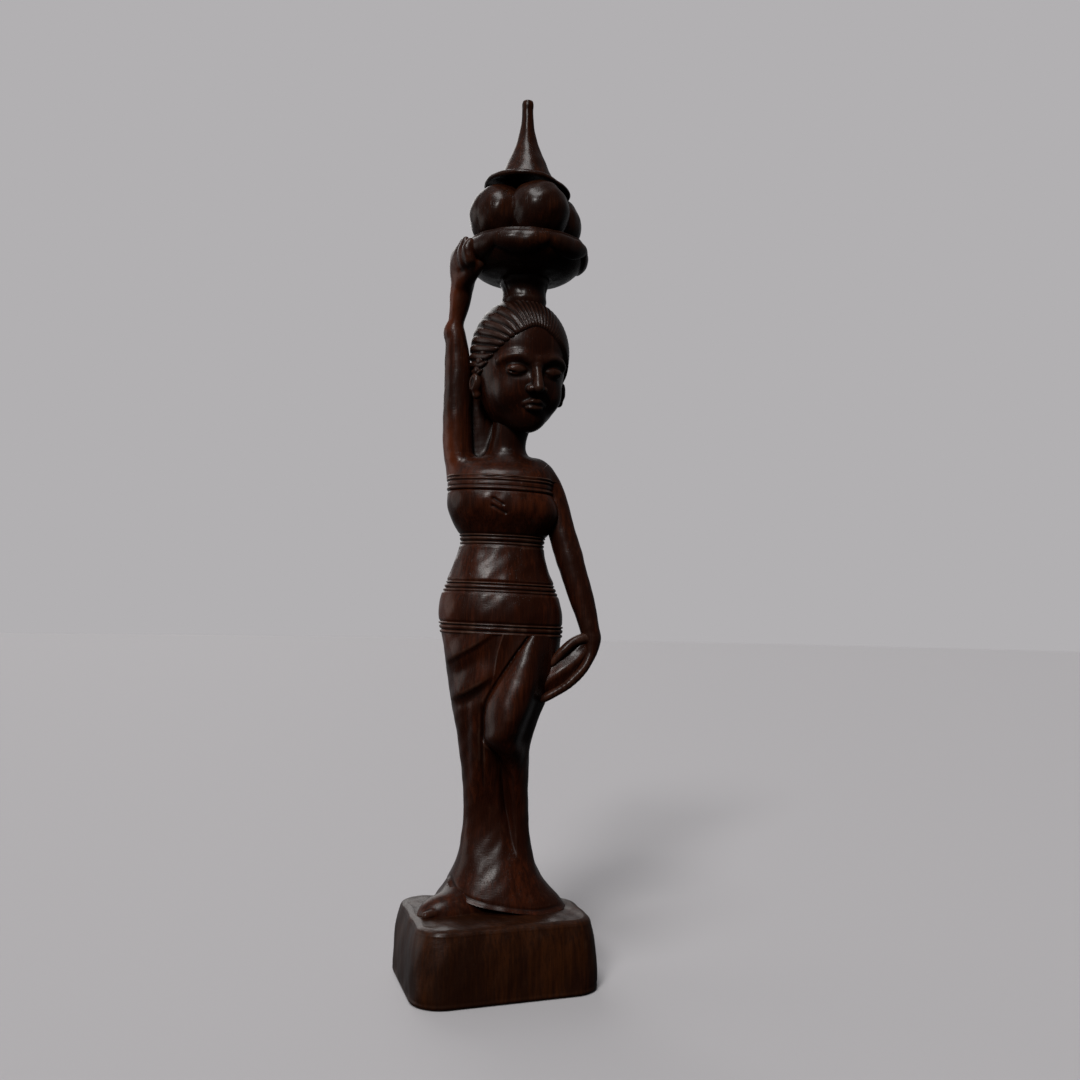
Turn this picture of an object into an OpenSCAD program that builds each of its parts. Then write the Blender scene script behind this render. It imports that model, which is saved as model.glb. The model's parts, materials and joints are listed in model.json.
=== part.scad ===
// Carved hardwood figure of a woman who steadies a covered fruit bowl on her head.
// Millimetres. The origin is the middle of the plinth's underside, +Z is up,
// +X is the figure's left hand side and the figure faces -Y.

/* [Plinth] */
// Height of the plinth
plinth_h = 13.4; // [12.5:0.1:14]
// How far the plinth narrows from its foot to its top edge
plinth_flare = 1.1; // [0:0.1:2]
// Radius worn onto the plinth's top edge
plinth_edge = 0.9; // [0.3:0.1:1.5]

/* [Figure] */
// Distance of the figure's middle plane behind the plinth's middle
figure_y = 4.5; // [3:0.1:6]
// Height at which the wrap's lower border lies over the skirt
wrap_z = 65.8; // [64:0.1:67]
// Height of the strip of border on the wrap's lower edge
hem_band_h = 2.2; // [1:0.1:3]
// Height at which the hip border starts
hip_band_z = 74; // [72:0.1:75]
// Height at which the waist border starts
waist_band_z = 83.3; // [82:0.1:84.5]
// Height at which the border over the breast starts
chest_band_z = 93.8; // [92:0.1:94.4]
// Height of each border
band_h = 2; // [1:0.1:2.2]
// How far a border stands out from the cloth
band_proud = 0.35; // [0.1:0.05:0.6]
// Height at which the bare shoulders meet the neck
neck_z = 101.6; // [101:0.1:102.5]

/* [Head] */
// Middle of the head, left to right
head_x = 3.9; // [3:0.1:5]
// Middle of the head, front to back
head_y = 3.6; // [3:0.1:5]
// Angle that the head is turned to the figure's left
head_turn = 23; // [0:1:30]
// Height of the chin
chin_z = 106.4; // [105.5:0.1:107]
// Height of the crown of the hair
crown_z = 132; // [131:0.1:133]
// Slope of the hairline, from the brow down to the nape
hairline_slope = 37; // [25:1:50]

/* [Offering] */
// Middle of the bowl, left to right
bowl_x = 4.5; // [4:0.1:5]
// Middle of the bowl, front to back
bowl_y = 3.2; // [2.5:0.1:4]
// Radius of the cloth pad between the hair and the bowl
pad_r = 4.5; // [3.5:0.1:5]
// Height of the pad
pad_h = 4.5; // [3:0.1:6]
// Radius of the bowl's rim
bowl_r = 12.5; // [11.5:0.1:13]
// Height of the bowl
bowl_h = 6.9; // [6:0.1:8]
// Radius of each of the four fruits
fruit_r = 6.2; // [5.5:0.1:6.3]
// Distance of each fruit's middle from the bowl's axis
fruit_ring = 5.5; // [5:0.1:6]
// Angle of the first fruit around the bowl
fruit_turn = 25; // [0:1:45]
// Radius of the lid
lid_r = 8.7; // [8:0.1:9.5]
// Height from the lid's seat to the foot of the spire
lid_h = 3.2; // [2.5:0.1:4]
// Radius of the spire's foot
spire_r = 5.4; // [4:0.1:6]
// Height of the spire
spire_h = 16; // [12:0.1:18]

/* [Hidden] */

round_fn = 48;
ring_points = 36;
tube_points = 16;
skin = "#3b2018";
cloth = "#34190f";
dark = "#24120d";
warm = "#4a2313";

// Radius of the spire's tip
tip_r = 1.05;
// How deep the fruit lies below the bowl's rim
bowl_depth = 0.9;
bowl_z = crown_z + pad_h;
fruit_floor = bowl_z + bowl_h - bowl_depth;
// A little is cut off the bottom and the top of each fruit, so that it sits flat
fruit_flat = 0.15;
lid_z = fruit_floor + 2 * (fruit_r - fruit_flat);
spire_z = lid_z + lid_h;

// Cross-sections of the clothed body, from the skirt's hem up to the neck:
// [height, half width, half depth, middle x, middle y behind the figure's middle plane]
body_sections = [
    [plinth_h, 13, 6.8, 1.6, 1.3],
    [15.2, 12.1, 6.6, 1.2, 1.2],
    [18.3, 9.6, 6.2, 0.9, 1.1],
    [22.2, 7.6, 5.8, 0.85, 1],
    [28, 6.55, 5.5, 0.85, 0.9],
    [34, 6.4, 5.6, 0.7, 0.8],
    [40, 6.6, 5.8, 0.4, 0.6],
    [45.3, 7.2, 6.3, 0.25, 0.3],
    [53, 9.3, 7.3, 0.85, 0],
    [61, 11, 8.2, 1.25, 0],
    [66, 11.8, 8.6, 1.15, 0.2],
    [70, 12.1, 8.7, 0.95, 0.3],
    [74.6, 11.2, 8, 0.8, 0.3],
    [78.6, 9.5, 6.8, 0.7, 0.1],
    [83.6, 8.3, 5.9, 1, 0],
    [88.5, 9.6, 6.7, 0.9, -0.3],
    [94, 10.4, 7.5, 0.45, -0.4],
    [97.4, 10.3, 6.9, 0.45, 0],
    [99.6, 9.2, 5.2, 0.5, 0.4],
    [101.6, 4.8, 4, 1.2, 0.7]
];

// Cross-sections of the head: [height, half width, half depth, middle x, middle y], before it is turned
head_sections = [
    [chin_z, 2.4, 2.6, 0, -5],
    [108.2, 4.9, 5.6, 0, -2.6],
    [111, 7, 8, 0, -0.9],
    [115, 8.7, 9.4, 0, -0.1],
    [119.5, 9.4, 10, 0, 0.2],
    [124, 9.1, 9.8, 0, 0.3],
    [128, 7.7, 8.3, 0, 0.3],
    [130.6, 5.9, 6.3, 0, 0.3],
    [crown_z, 4.6, 4.7, 0, 0.3]
];

// Stops of the arms that two nodes share: [x, y, z, radius across, radius front to back]
elbow_right = [-9.2, figure_y - 0.5, 127.6, 1.45, 2];
wrist_right = [-8, figure_y - 1.2, 134.8, 2.1, 2];
elbow_left = [14.4, figure_y - 0.4, 81, 2.6, 2.5];
wrist_left = [18.9, figure_y - 1.6, 65.6, 1.65, 1.8];

// Index of the section below a height
function below(t, table, i = 0) =
    (i >= len(table) - 2 || t < table[i + 1][0]) ? i : below(t, table, i + 1);

// Smooth curve through one column of a table of sections
function smooth(t, table, column) =
    let (
        i = below(t, table),
        a = table[max(i - 1, 0)],
        b = table[i],
        c = table[i + 1],
        d = table[min(i + 2, len(table) - 1)],
        span = c[0] - b[0],
        u = (t - b[0]) / span,
        start = (c[column] - a[column]) / (c[0] - a[0]) * span,
        finish = (d[column] - b[column]) / (d[0] - b[0]) * span
    )
    b[column] * (2 * u * u * u - 3 * u * u + 1) + start * (u * u * u - 2 * u * u + u)
    + c[column] * (3 * u * u - 2 * u * u * u) + finish * (u * u * u - u * u);

function power(value, exponent) = sign(value) * pow(abs(value), exponent);

// A slightly squared oval with its middle at [x, y], at one height
function oval(x, y, z, half_w, half_d, points = ring_points, squareness = 0.9) = [
    for (i = [0:points - 1])
        let (angle = 360 * i / points)
        [
            x + half_w * power(cos(angle), squareness),
            y + half_d * power(sin(angle), squareness),
            z
        ]
];

function body_ring(z, grow = 0) = oval(
    smooth(z, body_sections, 3), figure_y + smooth(z, body_sections, 4), z,
    smooth(z, body_sections, 1) + grow, smooth(z, body_sections, 2) + grow
);

function head_ring(z, grow = 0) = oval(
    smooth(z, head_sections, 3), smooth(z, head_sections, 4), z,
    smooth(z, head_sections, 1) + grow, smooth(z, head_sections, 2) + grow, ring_points, 1
);

// Closed skin over a stack of rings that have the same number of points
module loft(rings) {
    points = len(rings[0]);
    last = len(rings) - 1;
    polyhedron(
        points = [for (ring = rings) each ring],
        faces = concat(
            [[for (i = [0:points - 1]) i]],
            [
                for (row = [0:last - 1], i = [0:points - 1])
                    let (low = row * points, next = (i + 1) % points)
                    each [
                        [low + i, low + points + i, low + points + next],
                        [low + i, low + points + next, low + next]
                    ]
            ],
            [[for (i = [points - 1:-1:0]) last * points + i]]
        )
    );
}

// The clothed body between two heights, about one ring every two millimetres
module body_slice(from_z, to_z, grow = 0, pitch = 2) {
    steps = max(2, ceil((to_z - from_z) / pitch));
    loft([for (i = [0:steps]) body_ring(from_z + (to_z - from_z) * i / steps, grow)]);
}

// A border whose edge is rounded out from the cloth
module border(from_z, height, colour = cloth) {
    bulge = [0, 0.7, 1, 0.4, 1, 0.7, 0];
    last = len(bulge) - 1;
    color(colour)
        loft([for (i = [0:last]) body_ring(from_z + height * i / last, band_proud * bulge[i])]);
}

// A limb along a route in which each stop is [x, y, z, radius across, radius front to back]
module limb(stops, per_stop = 3, points = tube_points) {
    rows = [for (i = [0:len(stops) - 1]) concat([i], stops[i])];
    steps = (len(stops) - 1) * per_stop;
    loft([
        for (s = [0:steps])
            let (
                t = s / per_stop,
                t0 = max(t - 0.1, 0),
                t1 = min(t + 0.1, len(stops) - 1),
                dx = smooth(t1, rows, 1) - smooth(t0, rows, 1),
                dz = smooth(t1, rows, 3) - smooth(t0, rows, 3),
                size = norm([dx, dz]),
                across = smooth(t, rows, 4),
                deep = smooth(t, rows, 5)
            )
            [
                for (i = [0:points - 1])
                    let (angle = 360 * i / points)
                    [
                        smooth(t, rows, 1) + across * cos(angle) * dz / size,
                        smooth(t, rows, 2) + deep * sin(angle),
                        smooth(t, rows, 3) - across * cos(angle) * dx / size
                    ]
            ]
    ]);
}

module place_head() {
    translate([head_x, head_y, 0]) rotate([0, 0, head_turn]) children();
}

// The whole head before it is parted along the hairline
module head_block(grow = 0) {
    steps = 14;
    place_head()
        loft([for (i = [0:steps]) head_ring(chin_z + (crown_z - chin_z) * i / steps, grow)]);
}

// The half space in front of the hairline
module hairline_front() {
    size = 60;
    place_head()
        translate([0, 0, 119])
            rotate([hairline_slope, 0, 0])
                translate([-size / 2, -size, -size / 2]) cube(size);
}

module plinth() {
    // [x, y, radius] of each rounded corner at the foot
    corners = [[-8, -8.7, 6], [14.9, -0.6, 5.8], [12.4, 8.3, 5.8], [-13.2, 8.2, 5.8]];
    color(warm)
        hull() {
            for (c = corners) {
                translate([c[0], c[1], 0])
                    cylinder(h = plinth_h - plinth_edge, r1 = c[2], r2 = c[2] - plinth_flare, $fn = 32);
                translate([c[0], c[1], 0])
                    cylinder(h = plinth_h, r = c[2] - plinth_flare - plinth_edge, $fn = 32);
            }
        }
}

module skirt() {
    color(cloth) body_slice(plinth_h, wrap_z);
}

module foot_block() {
    limb([
        [-3, 0.5, plinth_h + 2.4, 2.4, 4],
        [-6, -0.5, plinth_h + 1.9, 1.9, 3.4],
        [-9.5, -1.6, plinth_h + 1.3, 1.3, 2.8],
        [-12.4, -2.3, plinth_h + 0.8, 0.8, 1.8]
    ]);
}

module right_foot() {
    color(skin)
        difference() {
            foot_block();
            body_slice(plinth_h - 1, plinth_h + 8);
        }
}

module knee_drape() {
    color(warm)
        difference() {
            limb([
                [9, -1.6, wrap_z - 0.4, 2.4, 1.4],
                [6.6, -2.4, 59, 3, 1.8],
                [3.8, -2.2, 52.5, 3.2, 2],
                [1.2, -1.9, 47, 2.4, 2],
                [0.6, -1.2, 43.5, 1.2, 1.2]
            ]);
            body_slice(40, wrap_z + 1);
        }
}

module front_pleat() {
    color(dark)
        difference() {
            limb([
                [4.2, -3.4, wrap_z - 0.3, 2.4, 0.9],
                [2.2, -3.1, 61.5, 1.6, 0.9],
                [0.8, -2.8, 58, 0.8, 0.9],
                [-0.2, -2.4, 54.5, 0.3, 0.7]
            ]);
            body_slice(40, wrap_z + 1);
            knee_drape();
        }
}

module hem_band() {
    border(wrap_z, hem_band_h);
}

module hip_wrap() {
    color(cloth) body_slice(wrap_z + hem_band_h, hip_band_z);
}

module hip_band() {
    border(hip_band_z, band_h);
}

module waist_wrap() {
    color(cloth) body_slice(hip_band_z + band_h, waist_band_z);
}

module waist_band() {
    border(waist_band_z, band_h);
}

module chest_wrap() {
    color(cloth) body_slice(waist_band_z + band_h, chest_band_z);
}

module chest_band() {
    border(chest_band_z, band_h + 1);
}

module shoulders() {
    color(skin) body_slice(chest_band_z + band_h + 1, neck_z, 0, 0.8);
}

// The neck, with the wood that was left standing between it and the raised arm
module neck() {
    color(skin)
        difference() {
            union() {
                limb([
                    [1.3, figure_y + 0.7, neck_z, 4, 3.6],
                    [1.7, figure_y + 0.4, neck_z + 3, 3.5, 3.6],
                    [2.8, figure_y, neck_z + 8, 4.2, 4.2]
                ]);
                limb([
                    [-2.8, figure_y + 2.1, neck_z - 1, 3.4, 1.9],
                    [-3.4, figure_y + 2.2, neck_z + 3, 3.2, 1.7],
                    [-4.2, figure_y + 2, neck_z + 8.5, 2.2, 1.5],
                    [-5, figure_y + 1.6, neck_z + 14, 1.2, 1.2]
                ]);
            }
            raised_upper_arm();
            head_block();
            translate([-10, -10, neck_z - 5]) cube([30, 30, 5]);
        }
}

module face() {
    color(skin)
        intersection() {
            head_block();
            hairline_front();
        }
}

module hair() {
    color(dark)
        difference() {
            head_block();
            hairline_front();
        }
}

module side_lock() {
    color(dark)
        difference() {
            place_head()
                limb([
                    [-8.6, 0, 123.4, 0.7, 1.4],
                    [-9.2, 0.4, 120.4, 1, 2],
                    [-9.2, 0.8, 117.6, 0.6, 1.2]
                ]);
            head_block();
        }
}

// An ear, with side -1 for the right one and 1 for the left one
module ear(side) {
    color(skin)
        difference() {
            place_head()
                limb([
                    [side * 9.1, 1.2, 116.8, 0.5, 1],
                    [side * 9.4, 1.2, 114.6, 1, 1.7],
                    [side * 8.8, 1, 111.6, 0.8, 1.4]
                ]);
            head_block();
        }
}

module right_ear() {
    ear(-1);
}

module left_ear() {
    ear(1);
}

module raised_upper_arm() {
    color(skin)
        difference() {
            limb([
                [-7.2, figure_y, 97.6, 2.6, 2.8],
                [-8.3, figure_y, 104, 2.7, 3],
                [-8.5, figure_y, 113, 2.65, 2.9],
                [-8.7, figure_y - 0.2, 121, 2.4, 2.6],
                elbow_right
            ]);
            body_slice(96, neck_z);
            head_block();
        }
}

module raised_forearm() {
    color(skin) limb([elbow_right, [-8.6, figure_y - 0.8, 131.4, 1.75, 2], wrist_right]);
}

module raised_hand() {
    color(skin)
        difference() {
            limb([
                wrist_right,
                [-7.9, figure_y - 1.8, 138.2, 2.4, 2.6],
                [-8.3, figure_y - 2.2, 141.2, 2.1, 2.8],
                [-8, figure_y - 2.6, 143.6, 1, 2]
            ]);
            bowl_solid();
        }
}

module lowered_upper_arm() {
    color(skin)
        difference() {
            limb([
                [8.6, figure_y + 0.8, 98.2, 2.5, 2.7],
                [11, figure_y + 1, 92.6, 2.6, 2.6],
                [12.6, figure_y + 0.4, 87, 2.6, 2.6],
                elbow_left
            ]);
            body_slice(74, neck_z, band_proud);
        }
}

module lowered_forearm() {
    color(skin) limb([elbow_left, [16.9, figure_y - 1.1, 73, 2.25, 2.3], wrist_left]);
}

module lowered_hand() {
    color(skin)
        difference() {
            limb([
                wrist_left,
                [18.5, figure_y - 2.3, 61.6, 1.3, 2],
                [16, figure_y - 2.9, 57.9, 1.1, 2.1],
                [12.6, figure_y - 3, 55.2, 1, 1.9],
                [9, figure_y - 2.8, 53.6, 0.7, 1.2]
            ]);
            body_slice(48, wrap_z);
        }
}

module lowered_thumb() {
    color(skin)
        difference() {
            limb([
                [18.2, figure_y - 2.4, 65.2, 1, 1.2],
                [15.2, figure_y - 3.3, 64.6, 0.85, 1],
                [13.2, figure_y - 3.6, 62.8, 0.85, 0.95],
                [11.2, figure_y - 3.6, 60.6, 0.6, 0.8]
            ]);
            body_slice(48, wrap_z);
            lowered_hand();
            lowered_forearm();
        }
}

module gathered_cloth() {
    color(warm)
        difference() {
            limb([
                [17, figure_y - 1.8, 62.8, 0.9, 1.2],
                [15, figure_y - 2.1, 60.6, 2, 1.5],
                [12.4, figure_y - 2.3, 58, 2.2, 1.5],
                [10.4, figure_y - 2.2, 56.6, 1.6, 1.5]
            ]);
            body_slice(48, wrap_z);
            lowered_hand();
            lowered_thumb();
        }
}

module head_pad() {
    color(dark)
        translate([bowl_x, bowl_y, crown_z])
            rotate_extrude($fn = round_fn)
                polygon([
                    [0, 0], [pad_r - 0.5, 0], [pad_r, 0.8], [pad_r - 0.5, pad_h * 0.5],
                    [pad_r + 0.2, pad_h - 0.6], [pad_r + 0.2, pad_h], [0, pad_h]
                ]);
}

module bowl_solid() {
    foot = 6.2;
    translate([bowl_x, bowl_y, bowl_z])
        rotate_extrude($fn = round_fn)
            polygon([
                [0, 0], [foot, 0], [foot + 1.6, 0.5], [bowl_r - 2, 1.9], [bowl_r - 0.6, 3.3],
                [bowl_r, 4.6], [bowl_r, bowl_h - 1], [bowl_r - 0.3, bowl_h], [bowl_r - 0.8, bowl_h],
                [bowl_r - 1.4, bowl_h - bowl_depth], [0, bowl_h - bowl_depth]
            ]);
}

module bowl() {
    color(dark) bowl_solid();
}

// One quarter of the heap of fruit, cut flat where it meets its neighbours, the bowl and the lid
module fruit(index) {
    size = 30;
    color(warm)
        translate([bowl_x, bowl_y, fruit_floor])
            rotate([0, 0, fruit_turn + 90 * index])
                intersection() {
                    translate([fruit_ring, 0, fruit_r - fruit_flat]) sphere(r = fruit_r, $fn = round_fn);
                    rotate([0, 0, -45]) cube([size, size, lid_z - fruit_floor]);
                }
}

module fruit_1() {
    fruit(0);
}

module fruit_2() {
    fruit(1);
}

module fruit_3() {
    fruit(2);
}

module fruit_4() {
    fruit(3);
}

module lid() {
    color(dark)
        translate([bowl_x, bowl_y, lid_z])
            rotate_extrude($fn = round_fn)
                polygon([
                    [0, 0], [lid_r - 1.2, 0], [lid_r - 0.3, 0.3], [lid_r, 0.8], [lid_r - 0.1, 1.3],
                    [lid_r - 0.8, 1.9], [spire_r, lid_h], [0, lid_h]
                ]);
}

// Radius of the spire at a share of its height, a hollow curve that runs out to the tip
function spire_radius(share) = tip_r + (spire_r - tip_r) * pow(1 - share, 2.4);

module spire() {
    // Height over which the tip's edge is rounded
    tip = 0.6;
    steps = 12;
    color(warm)
        translate([bowl_x, bowl_y, spire_z])
            rotate_extrude($fn = round_fn)
                polygon(concat(
                    [[0, 0]],
                    [
                        for (i = [0:steps])
                            [spire_radius(i / steps), (spire_h - tip) * i / steps]
                    ],
                    [[tip_r - tip / 2, spire_h], [0, spire_h]]
                ));
}

plinth();
right_foot();
skirt();
knee_drape();
front_pleat();
hem_band();
hip_wrap();
hip_band();
waist_wrap();
waist_band();
chest_wrap();
chest_band();
shoulders();
neck();
face();
hair();
side_lock();
right_ear();
left_ear();
raised_upper_arm();
raised_forearm();
raised_hand();
lowered_upper_arm();
lowered_forearm();
lowered_hand();
lowered_thumb();
gathered_cloth();
head_pad();
bowl();
fruit_1();
fruit_2();
fruit_3();
fruit_4();
lid();
spire();
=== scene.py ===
# %% [markdown]
# # A carved hardwood figure
#
# The real object is one piece of dark hardwood: a woman in a wrapped skirt and a banded bodice, on a
# block-shaped plinth, who holds a covered bowl of fruit on her head. This lesson builds her form by form.
# Cloth, bowl and plinth are smooth surfaces worked out from two parameters. Limbs and head are distance
# fields, because there one form melts into the next. Every surface is computed with numpy as whole arrays.

# %% The frame and the libraries
import json
import math

import bmesh
import bpy
import numpy as np
from mathutils import Matrix, Vector

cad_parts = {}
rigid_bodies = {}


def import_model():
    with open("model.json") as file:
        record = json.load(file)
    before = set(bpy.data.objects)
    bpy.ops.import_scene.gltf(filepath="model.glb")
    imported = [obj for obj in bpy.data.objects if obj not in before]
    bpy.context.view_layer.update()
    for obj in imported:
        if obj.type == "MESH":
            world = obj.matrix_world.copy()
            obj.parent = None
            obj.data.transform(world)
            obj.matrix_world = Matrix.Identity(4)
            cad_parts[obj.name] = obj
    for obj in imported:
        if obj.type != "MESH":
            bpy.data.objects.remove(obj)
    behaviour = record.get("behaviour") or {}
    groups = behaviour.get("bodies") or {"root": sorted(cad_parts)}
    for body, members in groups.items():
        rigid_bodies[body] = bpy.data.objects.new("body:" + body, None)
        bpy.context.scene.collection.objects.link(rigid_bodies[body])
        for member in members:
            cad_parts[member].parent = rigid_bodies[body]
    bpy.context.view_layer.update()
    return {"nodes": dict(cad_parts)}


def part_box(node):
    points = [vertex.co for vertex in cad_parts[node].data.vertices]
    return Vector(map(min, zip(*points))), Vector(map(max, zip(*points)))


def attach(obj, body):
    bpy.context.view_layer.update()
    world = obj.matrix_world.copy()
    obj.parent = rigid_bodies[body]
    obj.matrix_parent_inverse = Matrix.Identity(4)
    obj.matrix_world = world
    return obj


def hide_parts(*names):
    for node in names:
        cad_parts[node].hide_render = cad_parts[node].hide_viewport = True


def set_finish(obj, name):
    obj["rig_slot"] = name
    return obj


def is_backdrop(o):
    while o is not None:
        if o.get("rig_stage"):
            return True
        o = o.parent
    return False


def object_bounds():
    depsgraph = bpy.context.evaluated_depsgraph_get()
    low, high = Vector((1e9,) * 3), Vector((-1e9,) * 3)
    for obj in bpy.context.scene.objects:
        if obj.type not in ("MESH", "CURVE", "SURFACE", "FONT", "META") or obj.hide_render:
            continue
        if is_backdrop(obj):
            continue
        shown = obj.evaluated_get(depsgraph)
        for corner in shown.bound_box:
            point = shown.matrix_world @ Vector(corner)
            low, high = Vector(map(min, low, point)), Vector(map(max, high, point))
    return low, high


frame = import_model()

MM = 0.001  # everything below is worked out in millimetres, and becomes metres in the mesh

# %% [markdown]
# ## Small helpers
#
# A node's box gives its place. A curve is a short list of stops with a smooth line through
# them, and `eased` is the soft switch between two values that carving is full of.


# %% Boxes, curves and soft switches
def box_mm(node):
    """Lowest and highest corner of a node of the frame, in millimetres."""
    low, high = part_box(node)
    return np.array(low) / MM, np.array(high) / MM


def curve(t, stops):
    """Smooth line through stops [(t, value), ...]: cubic pieces whose slopes are those of the
    neighbouring chords, and level beyond the ends."""
    stops = np.array(stops, float)
    at, value = stops[np.argsort(stops[:, 0])].T
    slope = np.gradient(value, at)
    t = np.clip(t, at[0], at[-1])
    i = np.clip(np.searchsorted(at, t) - 1, 0, len(at) - 2)
    span = at[i + 1] - at[i]
    u = (t - at[i]) / span
    return (
        value[i] * (2 * u**3 - 3 * u**2 + 1)
        + slope[i] * span * (u**3 - 2 * u**2 + u)
        + value[i + 1] * (3 * u**2 - 2 * u**3)
        + slope[i + 1] * span * (u**3 - u**2)
    )


def eased(value, start, end):
    """0 before start, 1 after end, and the smooth cubic between them."""
    u = np.clip((value - start) / (end - start), 0, 1)
    return u * u * (3 - 2 * u)


def bump(value, middle, width):
    """A soft hump of height 1: the exponential of minus the square of the distance in widths."""
    return np.exp(-(((value - middle) / width) ** 2))


# %% [markdown]
# Nothing cut by hand is quite even. `wobble` is the same slow unevenness in space for every form, a sum of
# a few waves in odd directions, so two forms that meet still meet after it.


# %% The unevenness of a hand-cut surface
WAVE_PACE = 0.55  # waves per millimetre along a direction of length 1
WAVES = [  # direction, phase, share
    ((0.31, 0.11, 0.07), 0.4, 0.5),
    ((-0.13, 0.29, 0.12), 1.9, 0.5),
    ((0.07, -0.17, 0.23), 3.1, 0.45),
    ((0.55, 0.37, -0.19), 0.9, 0.25),
    ((-0.43, 0.25, 0.47), 2.3, 0.25),
    ((0.21, -0.61, 0.33), 4.2, 0.2),
]


def wobble(points, height=0.07):
    """Sum of sine waves of the position: share * sin(2 pi * pace * direction . point + phase)."""
    total = np.zeros(points.shape[:-1])
    for direction, phase, share in WAVES:
        total = total + share * np.sin(2 * np.pi * (points @ np.array(direction)) * WAVE_PACE + phase)
    return height * total


# %% [markdown]
# ## From arrays to meshes
#
# A grid of points becomes quads with one index sum. `foreach_set` moves whole arrays into the mesh at
# once. Each piece also gets a `relief` value per point, how hollow or proud the surface is there, because
# polish wears off ridges, and the hollows are painted darker as shade.


# %% Meshes
def grid_quads(rows, columns, closed=True):
    """Quads of a grid whose rows run upwards and whose columns turn anticlockwise, seen from above."""
    row, column = np.meshgrid(np.arange(rows - 1), np.arange(columns - (not closed)), indexing="ij")
    here, after = row * columns + column, row * columns + (column + 1) % columns
    return np.stack([corner.ravel() for corner in (here, after, after + columns, here + columns)], axis=1)


def edge_ends(faces):
    """Start and end of each side of the quads, both ways round. A side of no length is left out."""
    ends = np.concatenate([np.stack([faces[:, i], faces[:, (i + 1) % 4]], axis=1) for i in range(4)])
    ends = ends[ends[:, 0] != ends[:, 1]]
    return np.concatenate([ends, ends[:, ::-1]]).T


def mean_from(start, values, count):
    """At each of count points, the mean of the values on the sides that start there."""
    return np.bincount(start, values, count) / np.maximum(np.bincount(start, minlength=count), 1)


def mean_of_neighbours(points, start, end):
    """The mean place of each point's neighbours."""
    return np.stack([mean_from(start, points[end, axis], len(points)) for axis in range(3)], axis=1)


def relief_of(points, faces):
    """How proud each point stands of its neighbours: the mean of the edges from it, along the normal,
    with the sign turned, over the square of the edges' length, and smoothed three times."""
    start, end = edge_ends(faces)
    count = len(points)
    normal = np.zeros_like(points)
    first, second, third, fourth = (points[faces[:, i]] for i in range(4))
    face_normal = np.cross(third - first, fourth - second)
    for corner in range(4):
        for axis in range(3):
            normal[:, axis] += np.bincount(faces[:, corner], face_normal[:, axis], count)
    normal /= np.maximum(np.linalg.norm(normal, axis=1, keepdims=True), 1e-9)
    gap = mean_of_neighbours(points, start, end) - points
    length = np.linalg.norm(points[end] - points[start], axis=1)
    square = mean_from(start, length**2, count)
    proud = -np.einsum("ij,ij->i", gap, normal) * 4 / np.maximum(square, 1e-6)
    for _ in range(3):
        proud = 0.4 * proud + 0.6 * mean_from(start, proud[end], count)
    return np.clip(proud, -4, 4)


def sharpen_rims(mesh, smooth):
    """Marks the edges between flat cuts and smooth skin as sharp, so that a cut doesn't shade the skin."""
    if smooth.all():
        return
    edge = np.empty(len(mesh.loops), int)
    mesh.loops.foreach_get("edge_index", edge)
    size = np.empty(len(mesh.polygons), int)
    mesh.polygons.foreach_get("loop_total", size)
    on_skin = np.repeat(smooth, size)
    touched = [np.bincount(edge[side], minlength=len(mesh.edges)) > 0 for side in (on_skin, ~on_skin)]
    mesh.attributes.new("sharp_edge", "BOOLEAN", "EDGE").data.foreach_set("value", touched[0] & touched[1])


PIECES = []


def make_piece(node, slot, points, faces, flat=None, part=""):
    """A finished piece from points in millimetres and quads, named after the node that it replaces. A quad
    whose last two corners are the same is a triangle. flat marks the faces that are shaded flat, such as
    the cuts between two forms."""
    name = (node + part).capitalize()
    points = np.asarray(points, float)
    relief = relief_of(points, faces)
    three = faces[:, 2] == faces[:, 3]
    size = np.where(three, 3, 4)
    keep = np.ones(faces.shape, bool)
    keep[three, 3] = False
    mesh = bpy.data.meshes.new(name)
    mesh.vertices.add(len(points))
    mesh.vertices.foreach_set("co", (points * MM).ravel())
    mesh.loops.add(int(size.sum()))
    mesh.loops.foreach_set("vertex_index", faces[keep].astype(np.int32))
    mesh.polygons.add(len(faces))
    mesh.polygons.foreach_set("loop_start", np.concatenate([[0], np.cumsum(size)[:-1]]).astype(np.int32))
    mesh.update(calc_edges=True)
    mesh.validate()
    smooth = np.ones(len(mesh.polygons), bool) if flat is None else ~flat
    mesh.polygons.foreach_set("use_smooth", smooth)
    sharpen_rims(mesh, smooth)
    mesh.attributes.new("relief", "FLOAT", "POINT").data.foreach_set("value", relief.astype(np.float32))
    piece = bpy.data.objects.new(name, mesh)
    bpy.context.scene.collection.objects.link(piece)
    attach(piece, "root")
    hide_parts(node)
    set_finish(piece, slot)
    PIECES.append(piece)
    print(f"{name}: {len(points)} points, {len(faces)} faces")


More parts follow.
